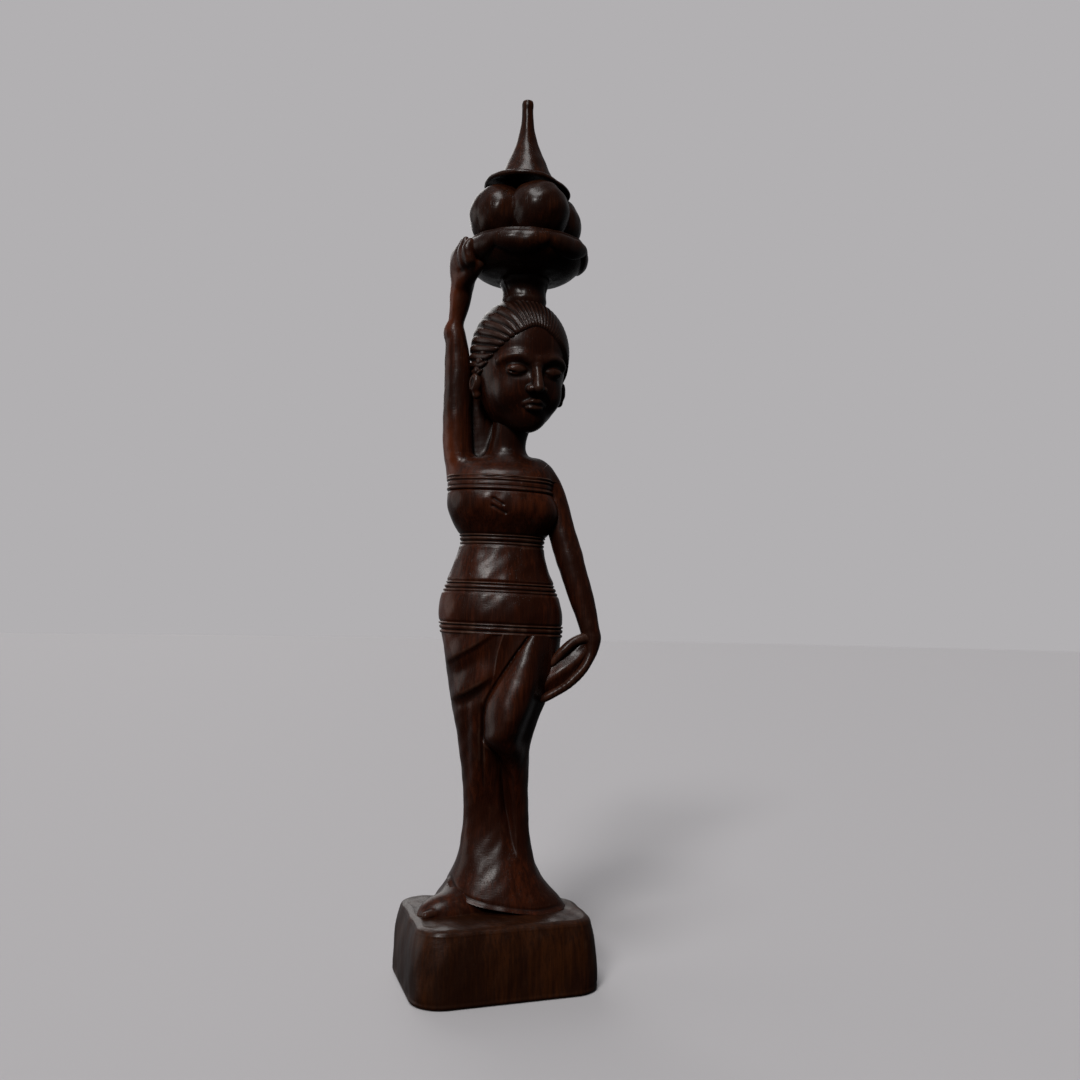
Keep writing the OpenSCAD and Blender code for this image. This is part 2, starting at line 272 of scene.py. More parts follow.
def stack_piece(node, slot, rings, inner=0.4):
    """A closed skin over rings of points (rows, columns, 3) from bottom to top. Each end is closed with a
    ring drawn in towards the ring's middle, to inner times its size, and a fan of triangles."""
    rows, columns = rings.shape[:2]
    middles = [rings[0].mean(axis=0), rings[-1].mean(axis=0)]
    low_ring, high_ring = [mid + (ring - mid) * inner for mid, ring in zip(middles, (rings[0], rings[-1]))]
    points = np.concatenate([low_ring[None], rings, high_ring[None]]).reshape(-1, 3)
    faces = grid_quads(rows + 2, columns)
    column = np.arange(columns)
    after = (column + 1) % columns
    top = (rows + 1) * columns
    low_tip, high_tip = np.full(columns, len(points)), np.full(columns, len(points) + 1)
    fan_low = np.stack([after, column, low_tip, low_tip], axis=1)
    fan_high = np.stack([top + column, top + after, high_tip, high_tip], axis=1)
    flat = np.zeros(len(faces) + 2 * columns, bool)
    flat[:columns] = True
    flat[len(faces) - columns :] = True
    points = np.concatenate([points, middles])
    make_piece(node, slot, points, np.concatenate([faces, fan_low, fan_high]), flat)


def blanket_piece(node, slot, top, bottom):
    """A closed slab between two grids of points (rows, columns, 3) that have the same edges' layout."""
    rows, columns = top.shape[:2]
    count = rows * columns
    upper = grid_quads(rows, columns, closed=False)
    lower = upper[:, ::-1] + count
    index = np.arange(count).reshape(rows, columns)
    edge = np.concatenate([index[0, :-1], index[:-1, -1], index[-1, :0:-1], index[:0:-1, 0]])
    after = np.roll(edge, -1)
    side = np.stack([after, edge, edge + count, after + count], axis=1)
    points = np.concatenate([top.reshape(-1, 3), bottom.reshape(-1, 3)])
    flat = np.zeros(len(upper) * 2 + len(side), bool)
    flat[len(upper) :] = True
    make_piece(node, slot, points, np.concatenate([upper, lower, side]), flat)


# %% [markdown]
# ## The clothed body
#
# The body is a stack of slightly squared ovals. Their sizes are read from the frame's own cross-sections,
# so the looks can't drift from the design. A point on it has an angle and a height, and `lift` moves it
# out or in along the oval's own normal: folds and borders are nothing but lift.

# %% The body's cross-sections, read from the frame
BODY_NODES = ["skirt", "hip_wrap", "waist_wrap", "chest_wrap", "shoulders"]
SQUARENESS = 0.9


def cross_sections(nodes):
    """Height, middle x, middle y, half width and half depth of each ring of points of the nodes."""
    found = []
    for node in nodes:
        mesh = frame["nodes"][node].data
        points = np.empty(len(mesh.vertices) * 3)
        mesh.vertices.foreach_get("co", points)
        points = points.reshape(-1, 3) / MM
        for height in np.unique(np.round(points[:, 2], 2)):
            ring = points[np.abs(points[:, 2] - height) < 0.02]
            low, high = ring.min(axis=0), ring.max(axis=0)
            found.append([height, *(low + high)[:2] / 2, *(high - low)[:2] / 2])
    found = np.array(sorted(found))
    return found[np.concatenate([[True], np.diff(found[:, 0]) > 0.05])]


SECTIONS = cross_sections(BODY_NODES)
PLINTH_TOP = box_mm("plinth")[1][2]
WRAP_LOW = box_mm("hem_band")[0][2]
SHOULDER_LOW = box_mm("shoulders")[0][2]
NECK_LOW = box_mm("shoulders")[1][2]
print("body:", len(SECTIONS), "sections from", SECTIONS[0, 0], "to", SECTIONS[-1, 0], "mm")


def section(z):
    """Middle x, middle y, half width and half depth at each height."""
    return [curve(z, SECTIONS[:, [0, column]]) for column in (1, 2, 3, 4)]


def slant(x, z):
    """The cloth's borders run a little downhill to the figure's left: the height falls with x."""
    return z - 0.03 * x * eased(z, 52, 66) * (1 - eased(z, 97.5, 101))


def body_point(angle, z, lift=0):
    """Oval of the section at height z: the middle plus half width * cos and half depth * sin of the
    angle, each raised to the squareness, then moved by lift along the oval's normal, and slanted."""
    x0, y0, wide, deep = section(z)
    c, s = np.cos(angle), np.sin(angle)
    across = np.sign(c) * np.abs(c) ** SQUARENESS
    along = np.sign(s) * np.abs(s) ** SQUARENESS
    nx, ny = c / wide, s / deep
    size = np.hypot(nx, ny)
    x = x0 + wide * across
    points = np.stack([x, y0 + deep * along, z + 0 * angle], axis=-1)
    lift = lift + wobble(points)
    points[..., 0] += lift * nx / size
    points[..., 1] += lift * ny / size
    points[..., 2] = slant(x, points[..., 2])
    return points


def oval_x(angle, z):
    """x of the plain oval at an angle, without any lift."""
    x0, _, wide, _ = section(z)
    c = np.cos(angle)
    return x0 + wide * np.sign(c) * np.abs(c) ** SQUARENESS


def front_angle(x, z):
    """The angle of the point on the front of the body that has this x, the inverse of body_point."""
    x0, _, wide, _ = section(z)
    share = np.clip((x - x0) / wide, -0.9999, 0.9999)
    return -np.arccos(np.sign(share) * np.abs(share) ** (1 / SQUARENESS))


# %% [markdown]
# ## The folds of the skirt
#
# The bent left leg pushes the cloth forward: from the hip the thigh runs down to the knee, and under the
# knee the shin's edge runs back out. Left of it a narrow pleat hangs from the wrap, two swags sag from the
# right hip, and under the knee the cloth falls away into a dark hollow. Each is a line on the front,
# given by a few stops, and a profile across that line.

# %% Lines of the folds, as (height, x) in millimetres
THIGH_GROOVE = [(66.5, 7), (61, 3.4), (57.4, 1.2), (53.6, -1), (48.5, -1.6), (45.5, -1.2), (43.3, 1),
                (40.7, 3), (35, 4.6), (30, 5.2), (24, 5.5)]
THIGH_RIDGE = [(66.5, 8), (62.5, 7), (59, 6), (54.9, 4.5), (50.8, 3), (47.8, 1.8), (45.8, 1.3),
               (43.6, 2.7), (40.7, 4.5), (35, 6), (30, 6.6), (24, 6.9)]
HOLLOW_SIDE = [(44, -1.6), (41, -1.2), (37.5, -0.4), (35, 0.6), (32, 1.6), (24, 2.5)]
PLEAT_SIDE = [(66.5, 1.7), (62.5, 0.6), (58.3, 0.1), (56, -0.2), (53, -1.2)]

# %% Sizes of the folds, as (height, millimetres)
THIGH_HEIGHT = [(66.5, 0.6), (60, 2), (54, 3.5), (49.5, 4.5), (46.8, 4.7), (44.5, 3.6), (41.5, 2.1),
                (37, 1.2), (32, 0.6), (25, 0)]
THIGH_WIDTH = [(66.5, 4.5), (58, 5.6), (50, 6), (45, 6.5), (40, 8), (30, 7)]
HOLLOW_DEPTH = [(44.5, 0), (42, 1.5), (38, 2.3), (34, 2), (29, 1), (23, 0)]


def thigh_lift(x, z):
    """Rises steeply as a quarter sine from the groove to the ridge, and falls away as a squared cosine."""
    groove, ridge = curve(z, THIGH_GROOVE), curve(z, THIGH_RIDGE)
    rise = np.clip((x - groove) / (ridge - groove), 0, 1)
    fall = np.clip((x - ridge) / curve(z, THIGH_WIDTH), 0, 1)
    x0, _, wide, _ = section(z)
    side = eased(x0 + wide - x, -0.8, 5)
    return curve(z, THIGH_HEIGHT) * np.sin(np.pi / 2 * rise) ** 0.8 * np.cos(np.pi / 2 * fall) ** 2 * side


def swag(across, height, below, above):
    """One sagging fold: steep under its ridge and gentle above it."""
    return height * np.exp(-((across / np.where(across < 0, below, above)) ** 2))


def swag_lift(x, z):
    """Two sagging folds along slanting lines from the right hip, fading out towards the thigh, and the
    hollow between them."""
    upper = z - (60.6 + 0.6 * (x + 8.8) + 0.015 * (x + 5.5) ** 2)
    lower = z - (53.7 + 0.62 * (x + 7.1) + 0.02 * (x + 3.5) ** 2)
    x0, _, wide, _ = section(z)
    fade = (1 - eased(x, -3.5, 1.5)) * (0.25 + 0.75 * eased(x - x0 + wide, 0.3, 3.2))
    one = swag(upper, 0.6, 0.55, 2.2) * fade
    two = swag(lower, 0.8, 0.6, 2.4) * fade
    hollow = -0.35 * bump(lower, 4.6, 1.5) * fade - 0.35 * bump(lower, -1.7, 1.1) * fade
    return (one + two + hollow) * eased(z, 44, 51)


def pleat_lift(x, z):
    """A flat pleat between its own side line and the thigh's groove, hollow along its middle."""
    side, groove = curve(z, PLEAT_SIDE), curve(z, THIGH_GROOVE)
    across = np.clip((x - side) / np.maximum(groove - side, 0.2), 0, 1)
    return 0.55 * eased(x - side, -0.15, 0.35) * (1 - 0.45 * np.sin(np.pi * across)) * eased(z, 52.5, 55.5)


def skirt_front(x, z):
    """All the folds of the front as one lift, in millimetres."""
    groove = curve(z, THIGH_GROOVE)
    right = eased(x - groove, -0.05, 0.05)
    lift = right * thigh_lift(x, z) + (1 - right) * (swag_lift(x, z) + pleat_lift(x, z) * (x < groove))
    lift -= 0.6 * bump(x, groove - 0.1, 0.3) * eased(z, 27, 36)
    side = curve(z, HOLLOW_SIDE)
    across = np.clip((x - side) / np.maximum(groove - side, 0.3), 0, 1)
    lift -= 1.7 * curve(z, HOLLOW_DEPTH) * across**1.5 * (1 - across**9) * (1 - right)
    lift -= 0.45 * bump(x, -1.95, 0.28) * eased(z, 33, 41) * (1 - eased(z, 51, 53.5))
    x0, _, wide, _ = section(z)
    middle = np.clip(1 - ((x - x0) / wide) ** 2, 0, 1)
    lift += (1.2 * bump(z, 14.5, 6) - 2.2 * bump(z, 31, 8)) * middle
    lift += 0.3 * bump(x, -3.2, 1.2) * eased(z, 30, 40) * (1 - eased(z, 50, 55))
    lift -= 0.22 * bump(x, -4.9, 0.9) * eased(z, 24, 36) * (1 - eased(z, 50, 55))
    return lift


def skirt_back(angle, z):
    """Soft hanging folds behind, deeper towards the waist, and one long overlapping edge of the wrap."""
    folds = 0.28 * np.sin(7 * angle + 0.6 * np.sin(z / 9)) * eased(z, 24, 40)
    edge = 0.4 * eased(angle, 1.05, 1.1) * (1 - eased(angle, 1.1, 1.9)) * eased(z, 16, 24)
    return folds + edge


def skirt_lift(angle, z):
    """The front's folds on the front half, the back's behind, each fading out at the sides."""
    x = oval_x(angle, z)
    front = eased(-np.sin(angle), 0.02, 0.3)
    behind = eased(np.sin(angle), 0.1, 0.5)
    return front * skirt_front(x, z) + behind * skirt_back(angle % (2 * np.pi), z)


# %% [markdown]
# The skirt's lower edge isn't level: it lies on the plinth, but climbs over the right foot. So the lowest
# row of the surface follows `hem_height`, and a small lip runs round it.


# %% The hem and the parts of the skirt that other pieces cover
HEM_RISE = [(-4.5, 0), (-4.1, 1), (-3.7, 3), (-3.35, 4.7), (-3, 5.3), (-2.7, 5), (-2.42, 4), (-2.15, 2.8),
            (-1.82, 1.7), (-1.5, 0.8), (-1.1, 0), (-0.5, 0)]  # angle, rise
DRAPE_HEIGHTS = (43.2, 67)
DRAPE_EDGE = [(67, 10.4), (60, 9.9), (54, 8), (48, 6), (43, 4.4)]  # where the drape has run out into the hip
PLEAT_HEIGHTS = (54.2, 67)
CLOTH_OVERLAP = 0.3  # how far the skirt and its patches run up under the wrap


def hem_height(angle):
    """Height of the hem: on the plinth, but rising over the foot towards the figure's right side."""
    around = np.where(angle > 1.5, angle - 2 * np.pi, angle)
    return PLINTH_TOP + 0.05 + curve(around, HEM_RISE)


def within(z, heights):
    """1 between two heights, easing off just inside each."""
    return eased(z, heights[0] + 0.2, heights[0] + 0.7) * (1 - eased(z, heights[1] - 0.05, heights[1] + 0.05))


def patch_cover(angle, z):
    """1 where the knee drape or the front pleat lies on the skirt, so that the skirt sinks under them."""
    x = oval_x(angle, z)
    front = eased(-np.sin(angle), 0.1, 0.4)
    groove, side = curve(z, THIGH_GROOVE), curve(z, PLEAT_SIDE)
    drape = eased(x - groove, 0.15, 0.6) * (1 - eased(x - curve(z, DRAPE_EDGE), -0.6, -0.15))
    pleat = eased(x - side, 0.25, 0.7) * (1 - eased(x - groove, -0.7, -0.25))
    return front * np.clip(drape * within(z, DRAPE_HEIGHTS) + pleat * within(z, PLEAT_HEIGHTS), 0, 1)


# %% The skirt
def skirt_rings(rows=230, columns=360):
    """Grid of angle and share of the height between the hem and the wrap, with a lip round the hem."""
    angle = np.linspace(-np.pi, np.pi, columns, endpoint=False)[None, :]
    share = (np.linspace(0, 1, rows) ** 1.15)[:, None]
    low = hem_height(angle)
    z = low + (WRAP_LOW + CLOTH_OVERLAP - low) * share
    above = z - low
    lip = 0.32 * bump(above, 0, 0.34) - 0.14 * bump(above, 0.8, 0.3)
    lip = lip * eased(-np.sin(angle), 0.1, 0.45)
    return body_point(angle + 0 * z, z, skirt_lift(angle, z) + lip - 0.45 * patch_cover(angle, z))


def front_patch(left, right, heights, over=0.03, under=1.1, rows=120, columns=70):
    """Top and bottom grid over the front between two side lines: the skirt's own lift, a little proud of
    it, and a second layer that lies deeper."""
    z = np.linspace(heights[0], min(heights[1], WRAP_LOW + CLOTH_OVERLAP), rows)[:, None]
    share = np.linspace(0, 1, columns)[None, :]
    x = left(z) + (right(z) - left(z)) * share
    angle = front_angle(x, z)
    lift = skirt_lift(angle, z)
    return body_point(angle, z + 0 * x, lift + over), body_point(angle, z + 0 * x, lift - under)


def beside(stops, gap=0.0):
    """A side line at a distance to the right of a line of stops."""
    return lambda z: curve(z, stops) + gap


stack_piece("skirt", "cloth_wood", skirt_rings())
blanket_piece("knee_drape", "cloth_wood",
              *front_patch(beside(THIGH_GROOVE, 0.05), beside(DRAPE_EDGE), DRAPE_HEIGHTS))
blanket_piece("front_pleat", "cloth_wood",
              *front_patch(beside(PLEAT_SIDE), beside(THIGH_GROOVE, -0.12), PLEAT_HEIGHTS))

# %% [markdown]
# ## The wraps and their borders
#
# Each border was cut as three fine ridges, every one between two finer grooves. The lowest border also
# overhangs the skirt a little. The plain cloth between the borders swells only slightly, and has two short
# slanting nicks on the breast.


# %% Wraps and borders
def border_lift(share, ridges):
    """Thin rounded ridges at the given shares of the height, each between two finer grooves, on a flat
    border."""
    lift = 0 * share
    for middle, thick in ridges:
        lift = lift + 0.17 * bump(share, middle, thick)
        low, high = middle - thick - 0.07, middle + thick + 0.07
        lift = lift - 0.13 * (bump(share, low, 0.05) + bump(share, high, 0.05))
    return lift


def wrap_lift(angle, z, low, high):
    """Plain cloth: a fine groove along each border, and a faint swell between."""
    share = (z - low) / (high - low)
    edges = -0.22 * (bump(z, low, 0.28) + bump(z, high, 0.28))
    return edges + 0.12 * np.sin(np.pi * share) + 0 * angle


def nick(x, z, start, end, depth=0.34, width=0.26):
    """A short straight cut: depth times a hump of the distance from the line between two (x, z) ends."""
    ax, az = start
    bx, bz = end
    dx, dz = bx - ax, bz - az
    share = np.clip(((x - ax) * dx + (z - az) * dz) / (dx * dx + dz * dz), 0, 1)
    away = np.hypot(x - ax - share * dx, z - az - share * dz)
    return -depth * bump(away, 0, width)


NARROW = [(0.14, 0.12), (0.55, 0.16), (0.9, 0.08)]  # share of the height and thickness of each ridge
WIDE = [(0.1, 0.09), (0.72, 0.07), (0.92, 0.06)]
NICKS = [((-0.5, 92), (1.3, 90.9)), ((-0.6, 90.6), (1.8, 89.3))]


def band_piece(node, slot, lift, rows, columns=300):
    """The body between the node's two heights, with a lift that depends on the angle and the height."""
    (_, _, low), (_, _, high) = box_mm(node)
    angle = np.linspace(-np.pi, np.pi, columns, endpoint=False)[None, :]
    z = np.linspace(low, high, rows)[:, None]
    stack_piece(node, slot, body_point(angle + 0 * z, z + 0 * angle, lift(angle, z, low, high)))


def chest_cloth(angle, z, low, high):
    """The bodice: plain cloth with the two nicks on its front."""
    x = oval_x(angle, z)
    cuts = sum(nick(x, z, *ends) for ends in NICKS) * (np.sin(angle) < 0)
    share = (z - low) / (high - low)
    front = eased(-np.sin(angle), -0.6, 0.5)
    swell = 0.75 * np.sin(np.pi * share**1.15) ** 1.2 * front + 0.8 * bump(x, 10, 3) * np.sin(np.pi * share)
    return wrap_lift(angle, z, low, high) + cuts + swell


def border(ridges, depth=-0.2):
    """A border's lift for band_piece: its ridges and grooves, and how far the whole border stands out."""
    return lambda angle, z, low, high: border_lift((z - low) / (high - low), ridges) + depth + 0 * angle


def hem_border(angle, z, low, high):
    """The wrap's lowest border stands further out, over the skirt."""
    share = (z - low) / (high - low)
    return border_lift(share, NARROW) + 0.02 + 0.08 * (1 - eased(share, 0, 0.5)) + 0 * angle


band_piece("hem_band", "border_wood", hem_border, 33)
band_piece("hip_wrap", "cloth_wood", wrap_lift, 50)
band_piece("hip_band", "border_wood", border(NARROW), 33)
band_piece("waist_wrap", "cloth_wood", wrap_lift, 50)
band_piece("waist_band", "border_wood", border(NARROW), 33)
band_piece("chest_wrap", "cloth_wood", chest_cloth, 80)
band_piece("chest_band", "border_wood", border(WIDE, 0.05), 41)

# %% [markdown]
# ## Distance fields for the limbs
#
# An arm that grows out of a shoulder has no clean seam, so tubes won't do. A distance field holds, at
# every point of a fine lattice, how far it is to the form's skin. Two forms are joined with a soft
# minimum, which fills the corner between them as a gouge leaves it. `surface_net` then finds the skin: one
# point in each lattice cell that the skin crosses, one quad for each lattice edge that it crosses.


# %% Fields and their surface
def lattice(low, high, pitch):
    """Coordinates of a regular lattice, as three arrays that broadcast to its full shape."""
    axes = [np.arange(a, b + pitch, pitch) for a, b in zip(low, high)]
    return [axes[0][:, None, None], axes[1][None, :, None], axes[2][None, None, :]]


def ball(p, middle, sizes):
    """Near distance to an ellipsoid: k * (k - 1) / m, where k is the length of the point over the sizes
    and m its length over the squared sizes."""
    q = [p[i] - middle[i] for i in range(3)]
    k = np.sqrt(sum((q[i] / sizes[i]) ** 2 for i in range(3)))
    m = np.sqrt(sum((q[i] / sizes[i] ** 2) ** 2 for i in range(3)))
    return k * (k - 1) / np.maximum(m, 1e-6)


def rod(p, a, b):
    """Distance to a tapered rod from a to b, each [x, y, z, radius across, radius front to back]."""
    flat = a[3] / (a[3] + a[4]) + b[3] / (b[3] + b[4])
    squeeze = [1, flat, 1]
    d = [(b[i] - a[i]) * squeeze[i] for i in range(3)]
    q = [(p[i] - a[i]) * squeeze[i] for i in range(3)]
    share = np.clip(sum(q[i] * d[i] for i in range(3)) / sum(v * v for v in d), 0, 1)
    away = np.sqrt(sum((q[i] - share * d[i]) ** 2 for i in range(3)))
    return away - (a[3] + share * (b[3] - a[3]))


def melt(a, b, reach):
    """Soft minimum: the smaller one, less reach / 4 * h squared, where h is 1 less their gap over reach."""
    h = np.clip(1 - np.abs(a - b) / reach, 0, 1)
    return np.minimum(a, b) - h * h * reach / 4


def carve(a, b, reach):
    """Takes form b out of form a, with a soft edge."""
    return -melt(-a, b, reach)


def limb(p, stops, pieces=5):
    """A smooth limb through its stops: tapered rods along the curve through them."""
    stops = np.array(stops, float)
    at = np.arange(len(stops))
    fine = np.linspace(0, len(stops) - 1, (len(stops) - 1) * pieces + 1)
    path = np.stack([curve(fine, np.stack([at, stops[:, i]], axis=1)) for i in range(5)], axis=1)
    field = rod(p, path[0], path[1])
    for start, end in zip(path[1:-1], path[2:]):
        field = melt(field, rod(p, start, end), 0.3)
    return field


def surface_net(field, low, pitch):
    """Points and outward quads of the surface where the field is 0. Each point is the mean of the
    crossings of its cell's edges."""
    inside = field < 0
    shape = np.array(field.shape) - 1
    total = np.zeros(shape, np.int8)
    for step in np.ndindex(2, 2, 2):
        total += inside[tuple(slice(at, at + size) for at, size in zip(step, shape))]
    crossed = (total > 0) & (total < 8)
    cell = np.argwhere(crossed)
    number = np.full(crossed.shape, -1, np.int64)
    number[crossed] = np.arange(len(cell))
    place, count = np.zeros((len(cell), 3)), np.zeros((len(cell), 1))
    quads = []
    for axis in range(3):
        one, two, unit = np.eye(3, dtype=int)[[(axis + 1) % 3, (axis + 2) % 3, axis]]
        for offset in (0 * one, one, two, one + two):
            start = cell + offset
            end = start + unit
            f0, f1 = field[tuple(start.T)], field[tuple(end.T)]
            cut = ((f0 < 0) != (f1 < 0))[:, None]
            share = (f0 / np.where(f0 == f1, 1, f0 - f1))[:, None]
            place += np.where(cut, start + share * unit, 0)
            count += cut
        first = [slice(1, -1)] * 3
        second = [slice(1, -1)] * 3
        first[axis], second[axis] = slice(0, -1), slice(1, None)
        edge = inside[tuple(first)] != inside[tuple(second)]
        start = np.argwhere(edge) + np.array(one + two)
        corners = [start - one - two, start - two, start, start - one]
        quad = np.stack([number[tuple(c.T)] for c in corners], axis=1)
        outward = inside[tuple(start.T)]
        quads.append(np.where(outward[:, None], quad, quad[:, ::-1]))
    return np.array(low) + pitch * place / count, np.concatenate(quads)


def smoothed(points, faces, times=2):
    """Moves each point a little towards its neighbours' mean, then a little back, so it doesn't shrink."""
    start, end = edge_ends(faces)
    for strength in [0.5, -0.53] * times:
        points = points + strength * (mean_of_neighbours(points, start, end) - points)
    return points


# %% [markdown]
# A field gives one skin for several forms, so a plane cuts it where one form ends. Both sides are cut from
# the same skin, so the seam closes exactly, and the cut face is shaded flat and can't be seen.


# %% Cutting a skin into pieces
def cut_piece(node, slot, skin, *planes, part=""):
    """The part of a skin (points, quads) on the inner side of each plane (spot, outward normal), closed."""
    mesh = bpy.data.meshes.new("cut")
    mesh.from_pydata(skin[0].tolist(), [], skin[1].tolist())
    work = bmesh.new()
    work.from_mesh(mesh)
    for spot, normal in planes:
        geometry = work.verts[:] + work.edges[:] + work.faces[:]
        bmesh.ops.bisect_plane(work, geom=geometry, plane_co=spot, plane_no=normal, clear_outer=True)
        rim = [edge for edge in work.edges if edge.is_boundary]
        lids = bmesh.ops.edgeloop_fill(work, edges=rim)["faces"] if rim else []
        bmesh.ops.triangulate(work, faces=lids)
    bmesh.ops.triangulate(work, faces=[face for face in work.faces if len(face.verts) > 4])
    work.to_mesh(mesh)
    work.free()
    points = np.empty(len(mesh.vertices) * 3)
    mesh.vertices.foreach_get("co", points)
    corners = np.empty(len(mesh.loops), int)
    mesh.loops.foreach_get("vertex_index", corners)
    start, size = np.empty(len(mesh.polygons), int), np.empty(len(mesh.polygons), int)
    mesh.polygons.foreach_get("loop_start", start)
    mesh.polygons.foreach_get("loop_total", size)
    bpy.data.meshes.remove(mesh)
    points = points.reshape(-1, 3)
    faces = np.stack([corners[start + np.minimum(i, size - 1)] for i in range(4)], axis=1)
    flat = np.zeros(len(faces), bool)
    for spot, normal in planes:
        away = (points - np.array(spot)) @ (np.array(normal) / np.linalg.norm(normal))
        flat |= (np.abs(away[faces]) < 1e-4).all(axis=1)
    make_piece(node, slot, points, faces, flat, part)


def net_piece(node, slot, field, low, pitch):
    """A whole field as one piece."""
    points, faces = surface_net(field, low, pitch)
    make_piece(node, slot, smoothed(points, faces), faces)


# %% [markdown]
# ## Shoulders, neck and arms
#
# The figure's right arm goes straight up beside the head to the bowl. It narrows at the elbow, where
# the carver cut a crease. The left arm hangs away from the body and gathers a piece of the skirt. The
# shoulders, the neck and the roots of both arms are one skin, and the rest of each arm is another.

# %% Stops of the limbs: x, y, z, radius across, radius front to back
RAISED_UPPER = [[-6.6, 4.9, 96.4, 2.9, 3], [-8, 4.6, 101, 2.85, 3.1], [-8.45, 4.5, 107, 2.8, 3],
                [-8.5, 4.5, 113, 2.7, 2.9], [-8.6, 4.4, 119, 2.55, 2.7], [-9, 4.2, 124.4, 2.1, 2.4],
                [-9.2, 4, 127.6, 1.4, 1.9]]
RAISED_FORE = [[-9.2, 4, 127.6, 1.4, 1.9], [-8.8, 3.8, 130.2, 1.7, 2.1], [-8.3, 3.5, 133, 2.05, 2.2],
               [-8, 3.3, 135.6, 2.1, 2.2]]
RAISED_PALM = [[-8, 3.3, 135.6, 2.05, 2.3], [-7.9, 2.5, 137.6, 2.4, 2.8], [-8, 1.9, 139.8, 2.3, 3],
               [-8.4, 1.7, 141.2, 1.5, 2.6]]
RAISED_THUMB = [[-7.4, 1.6, 135.8, 1.7, 2], [-5.9, -0.6, 137, 1.5, 1.7], [-4.3, -2.6, 137.9, 1.1, 1.2]]
LOWERED_UPPER = [[7.4, 5.2, 98.2, 2.6, 2.7], [9.6, 5.5, 96, 2.6, 2.7], [11, 5.5, 92.6, 2.6, 2.6],
                 [12.6, 4.9, 87, 2.65, 2.6], [14.4, 4.1, 81, 2.6, 2.5]]
LOWERED_FORE = [[14.4, 4.1, 81, 2.6, 2.5], [16.3, 3.5, 75, 2.4, 2.4], [18, 3.1, 69.4, 2, 2.1],
                [18.9, 2.9, 65.6, 1.65, 1.8]]
LOWERED_PALM = [[18.9, 2.9, 65.6, 1.65, 1.8], [18.9, 2.6, 63.6, 1.3, 1.9], [18, 2.6, 61, 0.95, 2],
                [16.4, 2.6, 58.6, 0.8, 1.9]]
NECK = [[1.3, 5.2, 99.5, 3.9, 3.7], [1.5, 5, 102.5, 3.6, 3.6], [1.9, 4.7, 105, 3.45, 3.6],
        [2.8, 4.5, 109.6, 4, 4.2]]
WEB = [[-2.6, 8, 98.5, 4, 1.5], [-3.4, 8.1, 104, 3.8, 1.3], [-4.2, 7.9, 110, 3, 1.3],
       [-5.4, 7.3, 116, 2, 1.2], [-6.4, 6.5, 119.6, 0.9, 0.9]]
ARM_PITCH = 0.22  # of the lattices for everything from the shoulders to the fingers

# %% Planes where one form ends and the next begins
ARM_JOIN, RAISED_ELBOW, RAISED_WRIST, NECK_TOP = 120.5, 127.8, 135.6, 118
NECK_JOIN = NECK_LOW + 0.6
ARMHOLE = SHOULDER_LOW - 0.7
LOWERED_ELBOW = box_mm("lowered_upper_arm")[0][2] + 2.3
LOWERED_WRIST = box_mm("lowered_forearm")[0][2] + 1


def below(z):
    """Keeps what is below a height: a spot on the plane, and its outward normal."""
    return (0, 0, z), (0, 0, 1)


def other_side(plane):
    """The same plane, keeping the other side."""
    spot, normal = plane
    return spot, tuple(-v for v in normal)


def over(z):
    """Keeps what is above a height."""
    return other_side(below(z))


WEB_EDGE = ((-4.1, 0, 0), (-1, 0, 0))  # the neck with its web on one side, the raised arm on the other
SLEEVE = ((9.0, 0, 98.6), (0.85, 0, -0.53))  # the shoulder on one side, the lowered arm on the other
print("elbows at", RAISED_ELBOW, "and", round(LOWERED_ELBOW, 1), "mm, wrists at", RAISED_WRIST, "and",
      round(LOWERED_WRIST, 1), "mm")


# %% Shoulders and neck
def body_field(p):
    """Near distance to the body's ovals: (k - 1) over the slope of k, with k from the squared oval."""
    x0, y0, wide, deep = section(p[2])
    power = 2 / SQUARENESS
    k = (np.abs((p[0] - x0) / wide) ** power + np.abs((p[1] - y0) / deep) ** power) ** (1 / power)
    slope = np.sqrt(sum(g**2 for g in np.gradient(k, ARM_PITCH)))
    return (k - 1) / np.maximum(slope, 0.05)


def torso_skin():
    """Shoulders, neck and the roots of both arms as one skin, with the wood left standing between the
    raised arm and the neck."""
    low, high = (-13, -4.5, SHOULDER_LOW - 1.6), (13.6, 12.5, ARM_JOIN + 1)
    p = lattice(low, high, ARM_PITCH)
    top = (p[2] - (NECK_LOW - 0.55 + 0.035 * p[0])) * 0.9
    field = melt(-melt(-body_field(p), -top, 1.2), limb(p, NECK), 1.8)
    field = melt(field, limb(p, RAISED_UPPER), 1.6)
    field = melt(field, limb(p, LOWERED_UPPER), 1.2)
    field = melt(field, limb(p, WEB), 1.0)
    return limb_skin(field, low)


def limb_skin(field, low):
    """Points and quads of a field, smoothed, and as uneven as the cloth beside it."""
    points, faces = surface_net(field, low, ARM_PITCH)
    points = smoothed(points, faces)
    return points + wobble(points, 0.05)[:, None] * np.array([1, 1, 0]), faces


torso = torso_skin()
print("torso skin:", len(torso[0]), "points")
cut_piece("shoulders", "skin_wood", torso, below(NECK_JOIN), over(ARMHOLE), SLEEVE)
cut_piece("neck", "skin_wood", torso, over(NECK_JOIN), WEB_EDGE, below(NECK_TOP))

# %% [markdown]
# The raised arm is one skin from the armpit to the fingers. The hand holds the bowl from outside:
# fingers and thumb lie on the rim's wall, side by side round it.


# %% The raised arm
# degrees round the bowl, and how much higher or lower each tip ends
FINGERTIPS = [(176, -0.3), (185, 0.35), (194.5, 0.55), (204, 0.3), (213.5, -0.6)]


